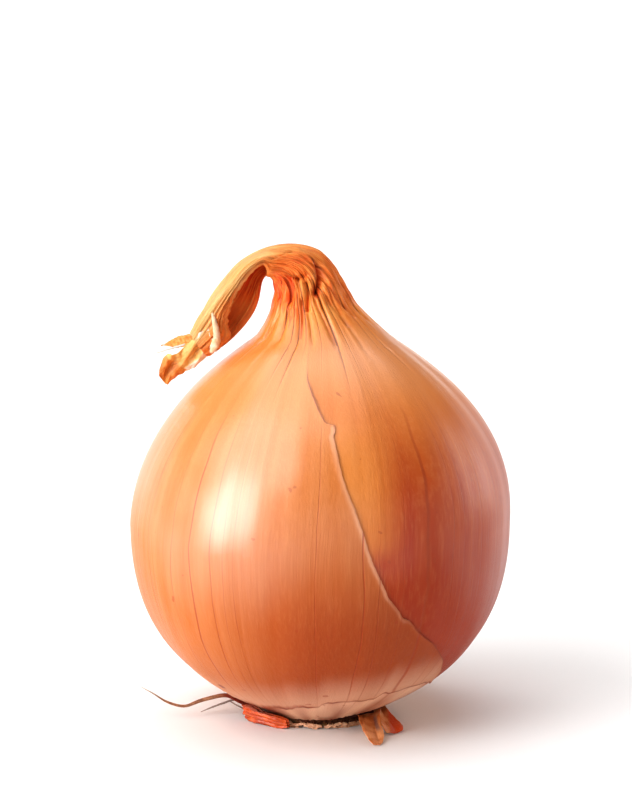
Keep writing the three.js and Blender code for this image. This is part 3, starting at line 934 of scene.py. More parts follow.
def make_bulb(shape, colours):
    form = BulbForm(shape)
    angles = np.linspace(-150, 210, 321)
    share = np.linspace(0, 1, 236)
    eased = 0.6 * (1 - np.cos(np.pi * share)) / 2 + 0.4 * share
    heights = BULB_LOW[2] + (SKIN_TOP - BULB_LOW[2]) * eased
    angle, height = np.meshgrid(angles, heights)
    plain = form.points(angle, height)
    out = grid_normals(plain, wraps=True)
    surface = plain + out * (relief(angle, height, shape) - 0.05)[..., None]
    normals = grid_normals(surface, wraps=True)
    surface = surface - out * tucked(height)[..., None]
    # Beside the outer skin's front edge the skin is as light as it is higher up: it takes the colours
    # and coat of higher up, so the painted shade of the lower half is held back there.
    beyond = (signed(angle) - front_edge(height)) * np.radians(1) * form.radius(height)
    lighter = 24 * between(beyond, 15, 0.5, -6, -1) * between(height, 33, 46, 72, 56)
    grain = np.stack([pleat_phase(angle, shape), height + lighter, form.radius(height)], -1)
    marks = bulb_marks(angle, height)
    maker = MeshMaker("bulb")
    numbers = maker.add(surface, grain, marks, normals)
    maker.skin(numbers)
    # The underside turns in over the root plate.
    inner = surface[0] * np.array([0.9, 0.9, 1.0]) + np.array([0, 0, 0.1])
    middle = surface[0] * np.array([0.02, 0.02, 1.0]) + np.array([0, 0, 0.3])
    below = np.stack([middle, inner, surface[0]])
    down = np.broadcast_to((0.0, 0.0, -1.0), below.shape)
    under = maker.add(below, grain[:3], marks[:3] * 0 + (0.6, 0, 0), down)
    maker.skin(under)
    material = skin_material(
        "under_skin", shape, colours, colours.under, colours.under_deep, colours.under_low_shade, 0.34, 0.4
    )
    return maker.make(material, ["bulb"])


def make_outer_skin(shape, colours):
    form = BulbForm(shape)
    columns = 262
    rows = 176
    share = np.linspace(0, 1, rows)
    share = 0.5 * (1 - np.cos(np.pi * share)) / 2 + 0.5 * share
    side = np.linspace(0, 1, columns)
    side = 0.72 * side + 0.28 * (1 - (1 - side) ** 3)  # closer together towards the front edge
    rough_height = SKIN_TOP - share * (SKIN_TOP - 8.5)
    first = back_edge(rough_height)[:, None] - 360
    last = front_edge(rough_height)[:, None]
    angle = first + (last - first) * side[None, :]
    height = SKIN_TOP - share[:, None] * (SKIN_TOP - lower_edge(angle))
    angle, height = angle[::-1], height[::-1]
    last = last[::-1]
    plain = form.points(angle, height)
    out = grid_normals(plain)

    # Millimetres in from the front edge, from the back edge and up from the lower edge.
    from_front = (last - angle) * np.radians(1) * form.radius(height)
    from_back = (angle - first[::-1]) * np.radians(1) * form.radius(height)
    from_below = (height - lower_edge(angle)) / 0.75
    from_side = np.minimum(from_front, from_back)
    free = smooth(height, 77.5, 70)
    lift = shape.skin_lift / MM * free
    curl = 0.12 * smooth(from_side, 2.2, 0) ** 2 * free * (0.6 + 0.4 * np.sin(height * 0.55))
    curl = curl + 0.22 * smooth(from_below, 2.4, 0) ** 2 * (0.6 + 0.4 * ring_ripples(angle, 43, (9, 22)))
    shaped = relief(angle, height, shape) + lift + curl
    surface = plain + out * shaped[..., None]
    normals = grid_normals(surface)
    surface = surface - out * tucked(height)[..., None]
    thickness = shape.skin_thickness / MM * (0.25 + 0.75 * free)
    inside = surface - out * thickness[..., None]

    margin = smooth(from_front, 1.1, 0.55) * between(height, 67.2, 66.2, 22, 40)
    margin = margin * (0.30 + 0.10 * ripples(angle * 6, height, 44, (3, 9), 0.5))
    lit_stretch = between(height, 67, 66, 24, 31)
    # Painted shadow: a thin dark line along the upper front edge, where the edge is lifted off the skin
    # below; weaker where the pale margin shows.
    edge_shadow = smooth(from_front, 0.34, 0.0) * smooth(height, 77, 74) * (1 - 0.75 * lit_stretch)
    near = signed(angle)
    # The torn lower edge is dark red, thicker at the front left: partly the dry edge's own colour, partly
    # painted shadow.
    thick = 0.5 + 1.15 * between(near, 0, -14, -78, -58)
    torn_edge_and_shadow = smooth(from_below, thick, 0.1) * (0.7 + 0.3 * ring_ripples(angle, 45, (20, 40)))
    bleached = 0.55 * smooth(from_below, 12, 0) + 0 * angle
    pale = np.clip(margin + bleached * (1 - torn_edge_and_shadow), 0, 1)
    chip = smooth(np.hypot((near + 48.7) * 0.42, (height - 10.4) * 1.5), 1.0, 0.6)
    red = np.clip(edge_shadow + torn_edge_and_shadow + chip, 0, 1)
    grain = np.stack([pleat_phase(angle, shape), height, form.radius(height)], -1)
    reach = 2 + 3 * smooth(height, 70, 80)  # the pleats die away sooner than on the skin below
    marks = np.stack([pleat_strength(angle, height + reach), pale, red], -1)
    maker = MeshMaker("outer_skin")
    thin_sheet(maker, surface, inside, grain, marks, normals)
    material = skin_material(
        "outer_skin", shape, colours, colours.skin, colours.skin_deep, colours.skin_low_shade, 0.34
    )
    return maker.make(material, ["outer_skin"])


# ---------------------------------------------------------------------------------------------------
# The neck and its leaf.

# The leaf's gutter across its section, from the near wall's free edge over the ridge to the far wall's
# free edge. The first number is 1 at the back of the bend and -1 at its underside, and the second is
# -1 at the front and 1 at the rear.
GUTTER = [
    (-0.12, -0.62), (0.18, -0.92), (0.6, -0.86), (0.93, -0.42), (0.97, 0.12), (0.62, 0.55), (0.05, 0.66),
    (-0.5, 0.5), (-1.0, 0.22),
]
# The near wall's free edge, in the same terms, at shares of the neck's length.
NEAR_EDGE = [
    (0.55, 0.17), (0.66, 0.09), (0.73, 0.13), (0.79, -0.02), (0.825, -0.14), (0.85, -0.36), (0.87, -0.62),
    (0.89, -0.9), (1.0, -0.95),
]
GUTTER_WALL = 0.30  # thickness in millimetres
SLIT_START = -60.0
SLIT_END = 250.0
OUTSIDE_COLUMNS = 300
INSIDE_COLUMNS = 110


def neck_grid(shape, rows=170):
    """The neck's skin from the bulb's shoulder to the end of the leaf. Returns its plain points, angle,
    place lengthwise, radius, how open the gutter is, and which columns are inside it."""
    form = BulbForm(shape)
    outside = np.linspace(SLIT_START, SLIT_END, OUTSIDE_COLUMNS)
    inside = np.linspace(SLIT_END, SLIT_START + 360, INSIDE_COLUMNS)
    angles = np.concatenate([outside, inside])
    shoulder_heights = np.linspace(JOIN_HEIGHT, NECK_FOOT_HEIGHT, 9)[:-1]
    angle, height = np.meshgrid(angles, shoulder_heights)
    shoulder = form.points(angle, height)

    share = np.linspace(0, 1, rows)
    back = spline(NECK_BACK, share)
    under = spline(NECK_UNDER, share)
    depth = spline([(value,) for value in NECK_HALF_DEPTH], share)[:, 0]
    middle = (back + under) / 2
    across = (back - under) / 2
    turn = np.radians(angles)
    round_across = np.sin(turn)
    round_deep = -np.cos(turn)

    walk = (outside - SLIT_START) / (SLIT_END - SLIT_START)
    gutter = spline(GUTTER, walk)
    back_walk = np.linspace(1, 0, INSIDE_COLUMNS)
    gutter_inside = spline(GUTTER, back_walk)
    opened = smooth(share, 0.53, 0.60)[:, None]
    edge = np.interp(share, *zip(*NEAR_EDGE)) + 0.05 * np.sin(share * 260) * np.sin(share * 77)
    near_wall = 1 + ((0.6 - edge) / (0.6 - GUTTER[0][0]) - 1)[:, None] * smooth(walk, 0.4, 0.0)[None, :]
    across_out = gutter[:, 0][None, :] * np.ones((rows, 1))
    across_out = np.where(walk[None, :] < 0.4, 0.6 + (across_out - 0.6) * near_wall, across_out)
    deep_out = gutter[:, 1][None, :] * np.ones((rows, 1))
    near_inside = np.interp(back_walk, walk, np.arange(OUTSIDE_COLUMNS))
    tangent = np.gradient(gutter_inside, axis=0)
    reach = np.linalg.norm(across, axis=1)[:, None]
    tangent_mm = np.stack([tangent[:, 0][None, :] * reach, tangent[:, 1][None, :] * depth[:, None]], -1)
    tangent_mm /= np.maximum(np.linalg.norm(tangent_mm, axis=-1, keepdims=True), 1e-6)
    inward = np.stack([tangent_mm[..., 1], -tangent_mm[..., 0]], -1)
    taper = np.minimum(1, np.minimum(back_walk, 1 - back_walk) * 12)[None, :] * GUTTER_WALL
    picked = near_inside.astype(int)
    across_in = across_out[:, picked] + inward[..., 0] * taper / reach
    deep_in = deep_out[:, picked] + inward[..., 1] * taper / depth[:, None]
    flat_across = np.concatenate([across_out, across_in], axis=1)
    flat_deep = np.concatenate([deep_out, deep_in], axis=1)
    final_across = round_across[None, :] * (1 - opened) + flat_across * opened
    final_deep = round_deep[None, :] * (1 - opened) + flat_deep * opened
    neck = np.zeros((rows, len(angles), 3))
    neck[..., 0] = middle[:, 0][:, None] + across[:, 0][:, None] * final_across
    neck[..., 1] = depth[:, None] * final_deep
    neck[..., 2] = middle[:, 1][:, None] + across[:, 1][:, None] * final_across

    plain = np.concatenate([shoulder, neck])
    steps = np.linalg.norm(np.diff(middle, axis=0), axis=1)
    lengthwise = np.concatenate(
        [shoulder_heights, NECK_FOOT_HEIGHT + np.concatenate([[0], np.cumsum(steps)])]
    )
    girth = np.concatenate([form.radius(shoulder_heights), (reach[:, 0] + depth) / 2])
    along = np.broadcast_to(lengthwise[:, None], plain.shape[:2])
    radius = np.broadcast_to(girth[:, None], plain.shape[:2])
    angle = np.broadcast_to(angles[None, :], plain.shape[:2])
    hollow = np.zeros(len(angles))
    hollow[OUTSIDE_COLUMNS:] = 1.0
    opening = np.concatenate([np.zeros((len(shoulder_heights), 1)), opened])
    return plain, angle, along, radius, opening, hollow


def make_neck(shape, colours):
    plain, angle, along, radius, opening, hollow = neck_grid(shape)
    ring = np.concatenate([plain, plain[:, :1]], axis=1)
    out = grid_normals(ring, wraps=True)[:, :-1]
    leafy = smooth(along, 98, 108)
    in_hollow = hollow[None, :] * opening
    stand = relief(angle, along, shape) * (1 - 0.85 * in_hollow)
    crinkles = 0.16 * ripples(angle, along, 62, (14, 34), 0.35)
    crinkles = crinkles + 0.22 * ripples(angle, along, 63, (5, 11), 0.3)
    stand = stand + leafy * crinkles * (1 - 0.6 * in_hollow)
    surface = plain + out * stand[..., None]
    closed = np.concatenate([surface, surface[:, :1]], axis=1)
    normals = grid_normals(closed, wraps=True)
    # The neck's foot is shaded as a soft curve.
    rows = np.arange(len(normals))
    spread = sum(normals[np.clip(rows + step, 0, len(rows) - 1)] for step in range(-8, 9)) / 17
    share = (between(along, JOIN_HEIGHT, JOIN_HEIGHT + 0.8, 86, 83))[:, :1, None]
    normals = normals + share * (spread - normals)
    normals /= np.linalg.norm(normals, axis=-1, keepdims=True)
    # Its first rows dip below the skins that they join.
    dip = 0.3 * smooth(along[:, :1], JOIN_HEIGHT + 0.9, JOIN_HEIGHT)[..., None]
    closed = closed - np.concatenate([out, out[:, :1]], axis=1) * dip
    grain_points = np.stack([pleat_phase(angle, shape), along, radius], -1)
    turn = signed(angle)
    # The deep folds also darken the skin in the material: painted shade.
    deep = 1.1 * neck_folds(angle, along)
    pale = smooth(along, 97, 109) * (0.55 + 0.45 * np.cos(np.radians(turn - 70)))
    pale = np.clip(pale * (1 - in_hollow) + 0.25 * smooth(along, 119, 126), 0, 1)
    wavy = along + 1.2 * np.sin(np.radians(turn * 9)) + 0.8 * ripples(angle, along, 64, (20, 50), 0.8)
    # The mouth of the hole under the bend takes the inside's red: partly the red inner skin, partly painted
    # shade in the pocket.
    mouth = between(turn, -10, -34, -130, -90) * between(wavy, 85, 88, 98, 94)
    flush = 0.5 * between(along, 92, 96, 102, 98) * between(turn, -70, -40, 60, 30)
    flush = flush + 0.45 * between(turn, 18, 45, 175, 120) * between(wavy, 84, 90, 100, 95)
    torn_off = smooth(wavy, 112.5, 115.5) * between(turn, 10, -25, -100, -60)
    pale = pale * (1 - torn_off)
    red = np.clip(in_hollow * smooth(along, 96, 101) + 0.95 * mouth + flush + 0.6 * torn_off, 0, 1)
    calm = 1 - 0.6 * smooth(along, 90, 95)
    marks = np.stack(
        [np.clip(pleat_strength(angle, along + 5 * (1 - leafy)) * calm + deep, 0, 3), pale, red], -1
    )
    maker = MeshMaker("neck")
    grain = np.concatenate([grain_points, grain_points[:, -1:]], axis=1)
    marks = np.concatenate([marks, marks[:, :1]], axis=1)
    numbers = maker.add(closed, grain, marks, normals)
    maker.skin(numbers)
    end = maker.add(closed[-1:].mean(axis=1), grain[-1, :1], (0, 0, 1), np.array([[-0.8, 0.0, -0.6]]))
    last = numbers[-1]
    maker.faces.append(
        np.stack([last[:-1], last[1:], np.repeat(end, len(last) - 1), np.repeat(end, len(last) - 1)], -1)
    )
    material = skin_material(
        "neck_leaf", shape, colours, colours.skin, colours.skin_deep, colours.skin_low_shade, 0.34, leafy=True
    )
    return maker.make(material, ["neck"])


# Thicknesses of the torn sheets, in millimetres.
LEAF_SHEET = 0.14
SCRAP_SHEET = 0.10
RAG_SHEET = 0.18
TAB_SHEET = 0.20


def crumpled_sheet(maker, stations, rows, columns, thickness, height, outline, pale, red, furrowed=None):
    """Adds one crumpled sheet through stations. Height, pale and red are worked out from the places
    along and across it."""
    points, normals, along, across = ribbon_grid(stations, rows, columns, outline)
    raised = points + normals * height(along, across)[..., None]
    raised[..., 2] = np.maximum(raised[..., 2], thickness + 0.02)
    facing = grid_normals(raised)
    lower = raised - facing * thickness
    lower[..., 2] = np.maximum(lower[..., 2], 0.01)
    grain = np.stack([across * 1.6, along, 0 * along + 4.0], -1)
    dark = 0 * along if furrowed is None else furrowed(along, across)
    marks = np.clip(np.stack([dark, pale(along, across), red(along, across)], -1), 0, 1)
    thin_sheet(maker, raised, lower, grain, marks)


def jagged(share, seed, amount, knots):
    """About 1 along a torn edge, with sharp straight-sided notches."""
    rng = np.random.default_rng(seed)
    return 1 + amount * np.interp(share, np.linspace(0, 1, knots), rng.uniform(-1, 1, knots))


def make_leaf_tips(colours):
    material = leaf_material("leaf_tip", colours)

    upper = [
        ((-24.6, -2.2, 80.6), (0.2, 0.9, 1.9)),
        ((-27.0, -1.4, 80.2), (0.2, 0.9, 1.4)),
        ((-29.4, -0.8, 79.7), (0.2, 0.8, 1.1)),
        ((-31.6, -0.2, 79.2), (0.1, 0.5, 0.6)),
        ((-33.3, 0.3, 78.8), (0.0, 0.2, 0.12)),
    ]
    maker = MeshMaker("leaf_tip_upper")
    crumpled_sheet(
        maker, upper, 90, 34, LEAF_SHEET,
        lambda u, v: 0.38 * folds(u, v, 71, 2.2, 3, 0.7) + 0.10 * folds(u, v, 72, 1.0, 3),
        lambda s: jagged(s, 77, 0.12, 12),
        lambda u, v: 0.05 + 0.25 * folds(u, v, 78, 2.0, 2, 0.5),
        lambda u, v: 0.50 + 0.45 * smooth(v, -0.2, -1.0) * smooth(u, 1, 3),
    )
    maker.make(material, ["leaf_tip_upper"])

    lower = [
        ((-22.4, -3.4, 80.6), (0.9, 0.5, -2.6)),
        ((-24.4, -2.6, 78.9), (1.1, 0.7, -2.5)),
        ((-26.6, -1.9, 77.0), (1.1, 0.9, -2.3)),
        ((-28.6, -1.5, 75.5), (1.1, 0.9, -2.1)),
        ((-30.6, -1.2, 74.7), (1.1, 1.0, -2.5)),
        ((-32.2, -1.0, 73.2), (0.9, 0.8, -2.2)),
        ((-33.1, -1.0, 71.7), (0.7, 0.5, -1.0)),
    ]
    maker = MeshMaker("leaf_tip_lower")
    crumpled_sheet(
        maker, lower, 130, 64, LEAF_SHEET,
        lambda u, v: (
            0.42 * folds(u, v, 73, 3.4, 3, 1.0) + 0.12 * folds(u, v, 74, 1.3, 4) + 0.55 * smooth(v, 1.4, 2.6)
        ),
        lambda s: jagged(s, 79, 0.07, 16),
        lambda u, v: 0.45 + 0.8 * smooth(v, 0.9, 2.2) * smooth(u, 11, 7) + 0.5 * smooth(u, 4.5, 1.5),
        lambda u, v: (
            smooth(u + 0.5 * v, 9.2, 9.9) + 0.5 * smooth(np.abs(v + 0.5), 0.5, 0.1) * smooth(u, 3, 5)
        ),
    )
    maker.make(material, ["leaf_tip_lower"])

    # The near wall of the leaf is torn across and rolled back on itself.
    roll = [
        (-22.3, -3.7, 86.0), (-21.9, -4.5, 84.4), (-21.5, -4.9, 82.6), (-21.4, -4.8, 80.8),
        (-21.9, -4.2, 79.2), (-22.6, -3.4, 77.8),
    ]
    maker = MeshMaker("leaf_roll")
    add_thread(maker, roll, (0.25, 0.5, 0.65, 0.8, 0.85, 0.4), 26, (0, 0.8, 0), 75, 0.09)
    maker.make(material)

    maker = MeshMaker("leaf_fibre")
    fibre = [(-28.2, -1.6, 79.2), (-31.0, -1.8, 78.4), (-33.6, -1.9, 77.6), (-35.2, -1.9, 77.2)]
    add_thread(maker, fibre, (0.24, 0.20, 0.15, 0.05), 10, (0, 1.0, 0), 76, 0.2)
    maker.make(root_material("leaf_fibre", colours, (0.62, 0.58, 0.52)))


# ---------------------------------------------------------------------------------------------------
# The base: root plate, crust, roots and torn skin.


def make_root_plate(shape, colours):
    radius = shape.plate_radius / MM
    height = shape.plate_height / MM
    angles = np.linspace(0, 360, 181)
    # Rings from the middle of the underside, round the rim and in over the top: radius and height.
    section = [
        (0.02, 0.0), (0.3, 0.0), (0.6, 0.0), (0.8, 0.0), (0.92, 0.0), (0.97, 0.18), (1.0, 0.5), (1.0, 0.8),
        (0.985, 1.0), (0.9, 1.0), (0.02, 1.0),
    ]
    share = np.linspace(0, 1, 90)
    rings = np.stack(
        [np.interp(share * (len(section) - 1), range(len(section)), part) for part in zip(*section)], -1
    )
    angle, ring_radius = np.meshgrid(angles, rings[:, 0] * radius)
    ring_height = np.broadcast_to((rings[:, 1] * height)[:, None], angle.shape)
    rim = smooth(ring_radius, 0.85 * radius, radius) * smooth(ring_height, 0.05, 0.3)
    ragged = 1 - rim * (0.015 + 0.03 * np.abs(ripples(angle, ring_height * 3, 81, (20, 60), 1.0)))
    turn = np.radians(angle)
    points = np.stack(
        [ring_radius * ragged * np.sin(turn), -ring_radius * ragged * np.cos(turn), ring_height], -1
    )
    grain = np.stack([turn * 17, ring_radius, ring_radius], -1)
    spots = np.clip(0.35 * ripples(angle, ring_height * 2, 82, (9, 33), 2.0), 0, 1) * rim
    marks = np.stack([spots, 0 * angle, 0 * angle], -1)
    maker = MeshMaker("root_plate")
    numbers = maker.add(points, grain, marks)
    maker.skin(numbers)
    maker.make(cork_material("root_plate", colours), ["root_plate"])

    # A dark ragged crust hangs round the plate's rim, thickest at the front right. It is partly real
    # crust and partly painted shadow under the bulb's rim, and dark red at the left, painted shade above
    # the torn skin.
    angles = np.linspace(0, 360, 721)
    share = np.linspace(0, 1, 9)
    angle, down = np.meshgrid(angles, share[::-1])
    near = signed(angle)
    heavy = between(near, -40, 30, 105, 70)
    jag = np.abs(ring_ripples(angle, 83, (30, 90))) + 0.5 * np.abs(ring_ripples(angle, 84, (90, 160)))
    top = 2.0 + 0.15 * ring_ripples(angle, 85, (10, 30))
    drop = (0.5 + 0.75 * heavy) * (0.45 + 0.55 * jag)
    height_at = np.maximum(top - drop * down, 0.1)
    radius_at = BASE_RADIUS + 0.42 - 0.35 * down + 0.10 * ripples(angle, down * 3, 86, (40, 80), 1.0)
    turn = np.radians(angle)
    outer = np.stack([radius_at * np.sin(turn), -radius_at * np.cos(turn), height_at], -1)
    inner = outer * np.array([0.985, 0.985, 1.0])
    grain = np.stack([turn * 30, down, 0 * down + 13], -1)
    dark = 0.95 - 0.75 * between(near, -24, -36, -90, -70)
    maker = MeshMaker("base_crust")
    thin_sheet(maker, outer, inner, grain, np.stack([dark, 0 * angle, 1 - dark], -1))
    maker.make(cork_material("base_crust", colours))

    # Pale scraps cling under the crust at the front.
    rng = np.random.default_rng(87)
    maker = MeshMaker("base_scraps")
    for _ in range(40):
        place = math.radians(rng.uniform(-32, 58))
        size = rng.uniform(0.5, 1.7)
        radius_here = PLATE_HIGH[0] + rng.uniform(0.4, 1.4)
        middle = np.array(
            [radius_here * math.sin(place), -radius_here * math.cos(place), rng.uniform(0.25, 0.95)]
        )
        sideways = np.array([math.cos(place), math.sin(place), rng.uniform(-0.25, 0.25)])
        tilt = np.array([0.35 * math.sin(place), -0.35 * math.cos(place), -1.0]) * rng.uniform(0.18, 0.4)
        ends = (middle - sideways * size, middle + rng.normal(0, 0.1, 3), middle + sideways * size)
        stations = [(end, tilt) for end in ends]
        crumpled_sheet(
            maker, stations, 12, 7, SCRAP_SHEET,
            lambda u, v: 0.14 * folds(u, v, int(size * 1000), 1.1, 3),
            lambda s: 1 - 0.6 * np.abs(2 * s - 1) ** 2,
            lambda u, v: 0.75 + 0 * u, lambda u, v: 0 * u,
        )
    maker.make(cork_material("base_scraps", colours))


def make_roots(colours):
    brown = root_material("brown_root", colours, colours.root_tip)
    grey = root_material("grey_root", colours, colours.grey_root)
    for name, points, radii, material, seed in (
        ("root_long", LONG_ROOT, (0.46, 0.42, 0.44, 0.38, 0.3, 0.24, 0.17, 0.06), brown, 91),
        ("root_middle", MIDDLE_ROOT, (0.28, 0.24, 0.22, 0.2, 0.08), grey, 92),
        ("root_short", SHORT_ROOT, (0.26, 0.22, 0.1), grey, 93),
    ):
        maker = MeshMaker(name)
        add_thread(maker, points, radii, 12, (0, 0, 0), seed)
        share = np.repeat(np.linspace(0, 1, 9 * (len(points) - 1) + 1), 12)
        pale = smooth(share, 0.72, 1.0) if material is brown else smooth(share, 0.0, 0.4)
        maker.marks[0] = np.stack([0 * pale, pale, smooth(share, 0.36, 0.26)], -1)
        maker.make(material, [name])

    # Short dead stubs of roots round the plate.
    rng = np.random.default_rng(94)
    maker = MeshMaker("root_stubs")
    for place in np.radians(np.arange(0, 360, 6.0) + rng.uniform(-2.4, 2.4, 60)):
        outward = np.array([math.sin(place), -math.cos(place), 0.0])
        sideways = np.array([math.cos(place), math.sin(place), 0.0])
        start = outward * (PLATE_HIGH[0] - rng.uniform(0.5, 1.6)) + (0, 0, rng.uniform(0.35, 0.9))
        length = rng.uniform(0.6, 1.7)
        bend = sideways * rng.uniform(-0.5, 0.5)
        end = start + outward * length + bend + (0, 0, rng.uniform(-0.4, 0.3))
        end[2] = max(end[2], 0.2)
        add_thread(
            maker, [start, (start + end) / 2 + bend * 0.3, end], (0.3, 0.24, 0.12), 7, (0, 0.2, 0), 95, 0.2
        )
    maker.make(brown)


def make_torn_skin(colours):
    material = torn_material("torn_skin", colours, colours.torn, colours.torn_deep)
    tab_material = torn_material("skin_tab", colours, colours.tab, colours.tab_deep)

    rag = [
        ((-16.0, -8.2, 2.1), (-0.3, -0.1, 1.5)),
        ((-14.6, -9.9, 2.0), (-0.5, -0.3, 1.9)),
        ((-12.4, -11.8, 1.8), (-0.5, -0.5, 1.8)),
        ((-9.8, -13.2, 1.55), (-0.4, -0.5, 1.5)),
        ((-6.9, -14.1, 1.2), (-0.2, -0.4, 1.1)),
    ]
    maker = MeshMaker("skin_rag_left")
    for offset, seed in ((0.0, 101), (0.55, 102)):
        shifted = [((x + offset * 0.9, y + offset * 0.75, z + 0.1 * offset), half) for (x, y, z), half in rag]
        crumpled_sheet(
            maker, shifted, 120, 44, RAG_SHEET,
            lambda u, v: (
                0.16 * np.sin(v * 6.5 + 0.8 * np.sin(u * 0.8)) + 0.12 * folds(u, v, seed, 2.0, 3, 0.8)
            ),
            lambda s: jagged(s, seed, 0.08, 18) - 0.25 * smooth(s, 0.8, 1.0),
            lambda u, v: 0 * u,
            # Painted shade: the upper edge, under the bulb's overhang, is darkened to red and then brown; the
            # far end is redder.
            lambda u, v: 0.7 * smooth(v, 0.9, 1.7) + 0.35 * smooth(u, 8, 12),
            lambda u, v: 0.8 * smooth(v, 1.4, 1.8),
        )
    maker.make(material, ["skin_rag_left"])

    front = [
        ((10.4, -10.4, 2.4), (2.3, 0.7, 0.5)),
        ((10.3, -13.6, 1.9), (2.3, 0.4, 0.2)),
        ((10.7, -17.2, 1.2), (2.1, 0.4, 0.1)),
        ((11.2, -20.8, 0.7), (1.9, 0.3, 0.0)),
        ((11.4, -23.4, 0.5), (1.4, 0.2, 0.0)),
        ((11.5, -25.2, 0.4), (0.7, 0.1, 0.0)),
    ]
    maker = MeshMaker("skin_tab_front")
    crumpled_sheet(
        maker, front, 90, 46, TAB_SHEET,
        lambda u, v: 0.6 * (0.6 - np.abs(v - 0.7) / 2) + 0.14 * folds(u, v, 103, 1.9, 3, 0.7),
        lambda s: jagged(s, 105, 0.06, 14),
        lambda u, v: 0.8 * smooth(np.abs(v - 1.3), 0.6, 0.2) * between(u, 9.5, 6.5, 1.2, 2.4),
        lambda u, v: 0.45 * smooth(u, 2.2, 0.2) + 0.15 * smooth(v, -1.2, -2.2),
    )
    maker.make(tab_material, ["skin_tab_front"])

    rear = [
        ((12.3, -7.6, 2.8), (1.3, 1.2, 0.3)),
        ((13.2, -10.6, 2.0), (1.6, 1.0, 0.1)),
        ((14.3, -13.4, 1.2), (2.0, 1.1, 0.0)),
        ((15.1, -15.9, 0.7), (2.1, 1.3, 0.0)),
        ((15.4, -17.4, 0.4), (1.7, 1.0, 0.0)),
    ]
    maker = MeshMaker("skin_tab_rear")
    crumpled_sheet(
        maker, rear, 80, 44, TAB_SHEET,
        lambda u, v: 0.45 * (0.6 - np.abs(v - 0.4) / 2) + 0.14 * folds(u, v, 104, 2.1, 3, 0.8),
        lambda s: jagged(s, 106, 0.06, 12),
        lambda u, v: 0 * u,
        lambda u, v: 0.95 * smooth(v + 0.35 * (u - 5), 0.2, 1.0) + 0.3 * smooth(u, 2.0, 0.2),
    )
    maker.make(tab_material, ["skin_tab_rear"])


# ---------------------------------------------------------------------------------------------------
# The studio.


def area_light(name, place, aim, size, glow, tint=(1.0, 1.0, 1.0)):
    """A soft oval light at place, facing aim. Sizes are in metres, and glow is how bright its
    face is beside a white wall in full light."""
    light = bpy.data.lights.new(name, "AREA")
    light.shape = "ELLIPSE"
    light.color = tint
    light.size, light.size_y = size
    light.energy = glow * math.pi * (math.pi / 4 * size[0] * size[1])
    holder = bpy.data.objects.new(name, light)
    bpy.context.scene.collection.objects.link(holder)
    holder.location = place
    holder.rotation_euler = (Vector(aim) - Vector(place)).to_track_quat("-Z", "Y").to_euler()
    return holder


def make_stage(studio, colours):
    """A round pale floor that curves up all round into a backdrop."""
    flat, curve, wall = 1.25, 0.35, 0.6
    bend = np.linspace(0, math.pi / 2, 16)
    radii = np.concatenate(
        [np.geomspace(0.02, flat, 26), flat + curve * np.sin(bend[1:]), [flat + curve] * 4]
    )
    rises = np.concatenate([np.zeros(26), curve * (1 - np.cos(bend[1:])), np.linspace(curve + 0.1, wall, 4)])
    turn = np.linspace(0, 2 * math.pi, 97)
    radius, angle = np.meshgrid(radii, turn, indexing="ij")
    rise = np.broadcast_to(rises[:, None], radius.shape)
    points = np.stack([radius * np.sin(angle), -radius * np.cos(angle), rise], -1) / MM
    maker = MeshMaker("floor")
    numbers = maker.add(points, (0, 0, 0), (0, 0, 0))
    maker.skin(numbers, flip=True)
    middle = maker.add(np.zeros((1, 3)), (0, 0, 0), (0, 0, 0))
    ring = numbers[0]
    centre = np.repeat(middle, len(ring) - 1)
    maker.faces.append(np.stack([centre, ring[:-1], ring[1:], ring[1:]], -1))
    mesh = bpy.data.meshes.new("floor")
    faces = [[int(n) for n in dict.fromkeys(face)] for block in maker.faces for face in block.tolist()]
    mesh.from_pydata((np.concatenate(maker.points) * MM).tolist(), [], faces)
    mesh.polygons.foreach_set("use_smooth", [True] * len(mesh.polygons))
    mesh.materials.append(floor_material("floor_paper", colours))
    floor = bpy.data.objects.new("floor", mesh)
    bpy.context.scene.collection.objects.link(floor)

    aim = (0.0, 0.0, 0.045)
    middle = Vector(aim)
    plain, warm = (1.0, 1.0, 1.0), (1.0, 0.88, 0.76)
    for name, toward, distance, size, glow, tint in (
        ("key", (-0.83, -0.51, 0.22), 0.85, (0.46, 0.62), studio.key_glow, plain),
        ("high", (-0.62, -0.36, 0.70), 1.00, (1.15, 0.62), studio.high_glow, plain),
        ("side", (0.90, 0.40, 0.12), 1.00, (0.45, 0.90), studio.side_glow, warm),
        ("overhead", (-0.10, 0.05, 0.99), 1.70, (2.03, 2.03), studio.overhead_glow, plain),
    ):
        area_light(name, middle + Vector(toward) * distance, aim, size, glow, tint)
    area_light("backdrop", (0.0, 0.60, 1.10), (0.0, 1.40, 0.25), (1.58, 0.34), studio.backdrop_glow)

    world = bpy.data.worlds.new("studio")
    world.use_nodes = True
    background = world.node_tree.nodes["Background"]
    background.inputs[0].default_value = (1, 1, 1, 1)
    background.inputs[1].default_value = studio.sky
    bpy.context.scene.world = world
    bpy.context.scene.view_settings.view_transform = "Standard"
    bpy.context.scene.view_settings.look = "Medium High Contrast"

    middle = Vector((0, 0, WIDEST_HEIGHT * MM))
    camera_data = bpy.data.cameras.new("camera")
    camera_data.lens = studio.lens
    camera_data.sensor_width = 36
    camera_data.clip_end = 20
    camera = bpy.data.objects.new("camera", camera_data)
    bpy.context.scene.collection.objects.link(camera)
    reach = studio.distance
    camera.location = middle + Vector((0, -math.cos(studio.elevation), math.sin(studio.elevation))) * reach
    target = Vector((-0.88 * MM, 0, 67.25 * MM))
    camera.rotation_euler = (target - camera.location).to_track_quat("-Z", "Y").to_euler()
    bpy.context.scene.camera = camera


# ---------------------------------------------------------------------------------------------------
# Operators, one for each piece or group of like pieces.


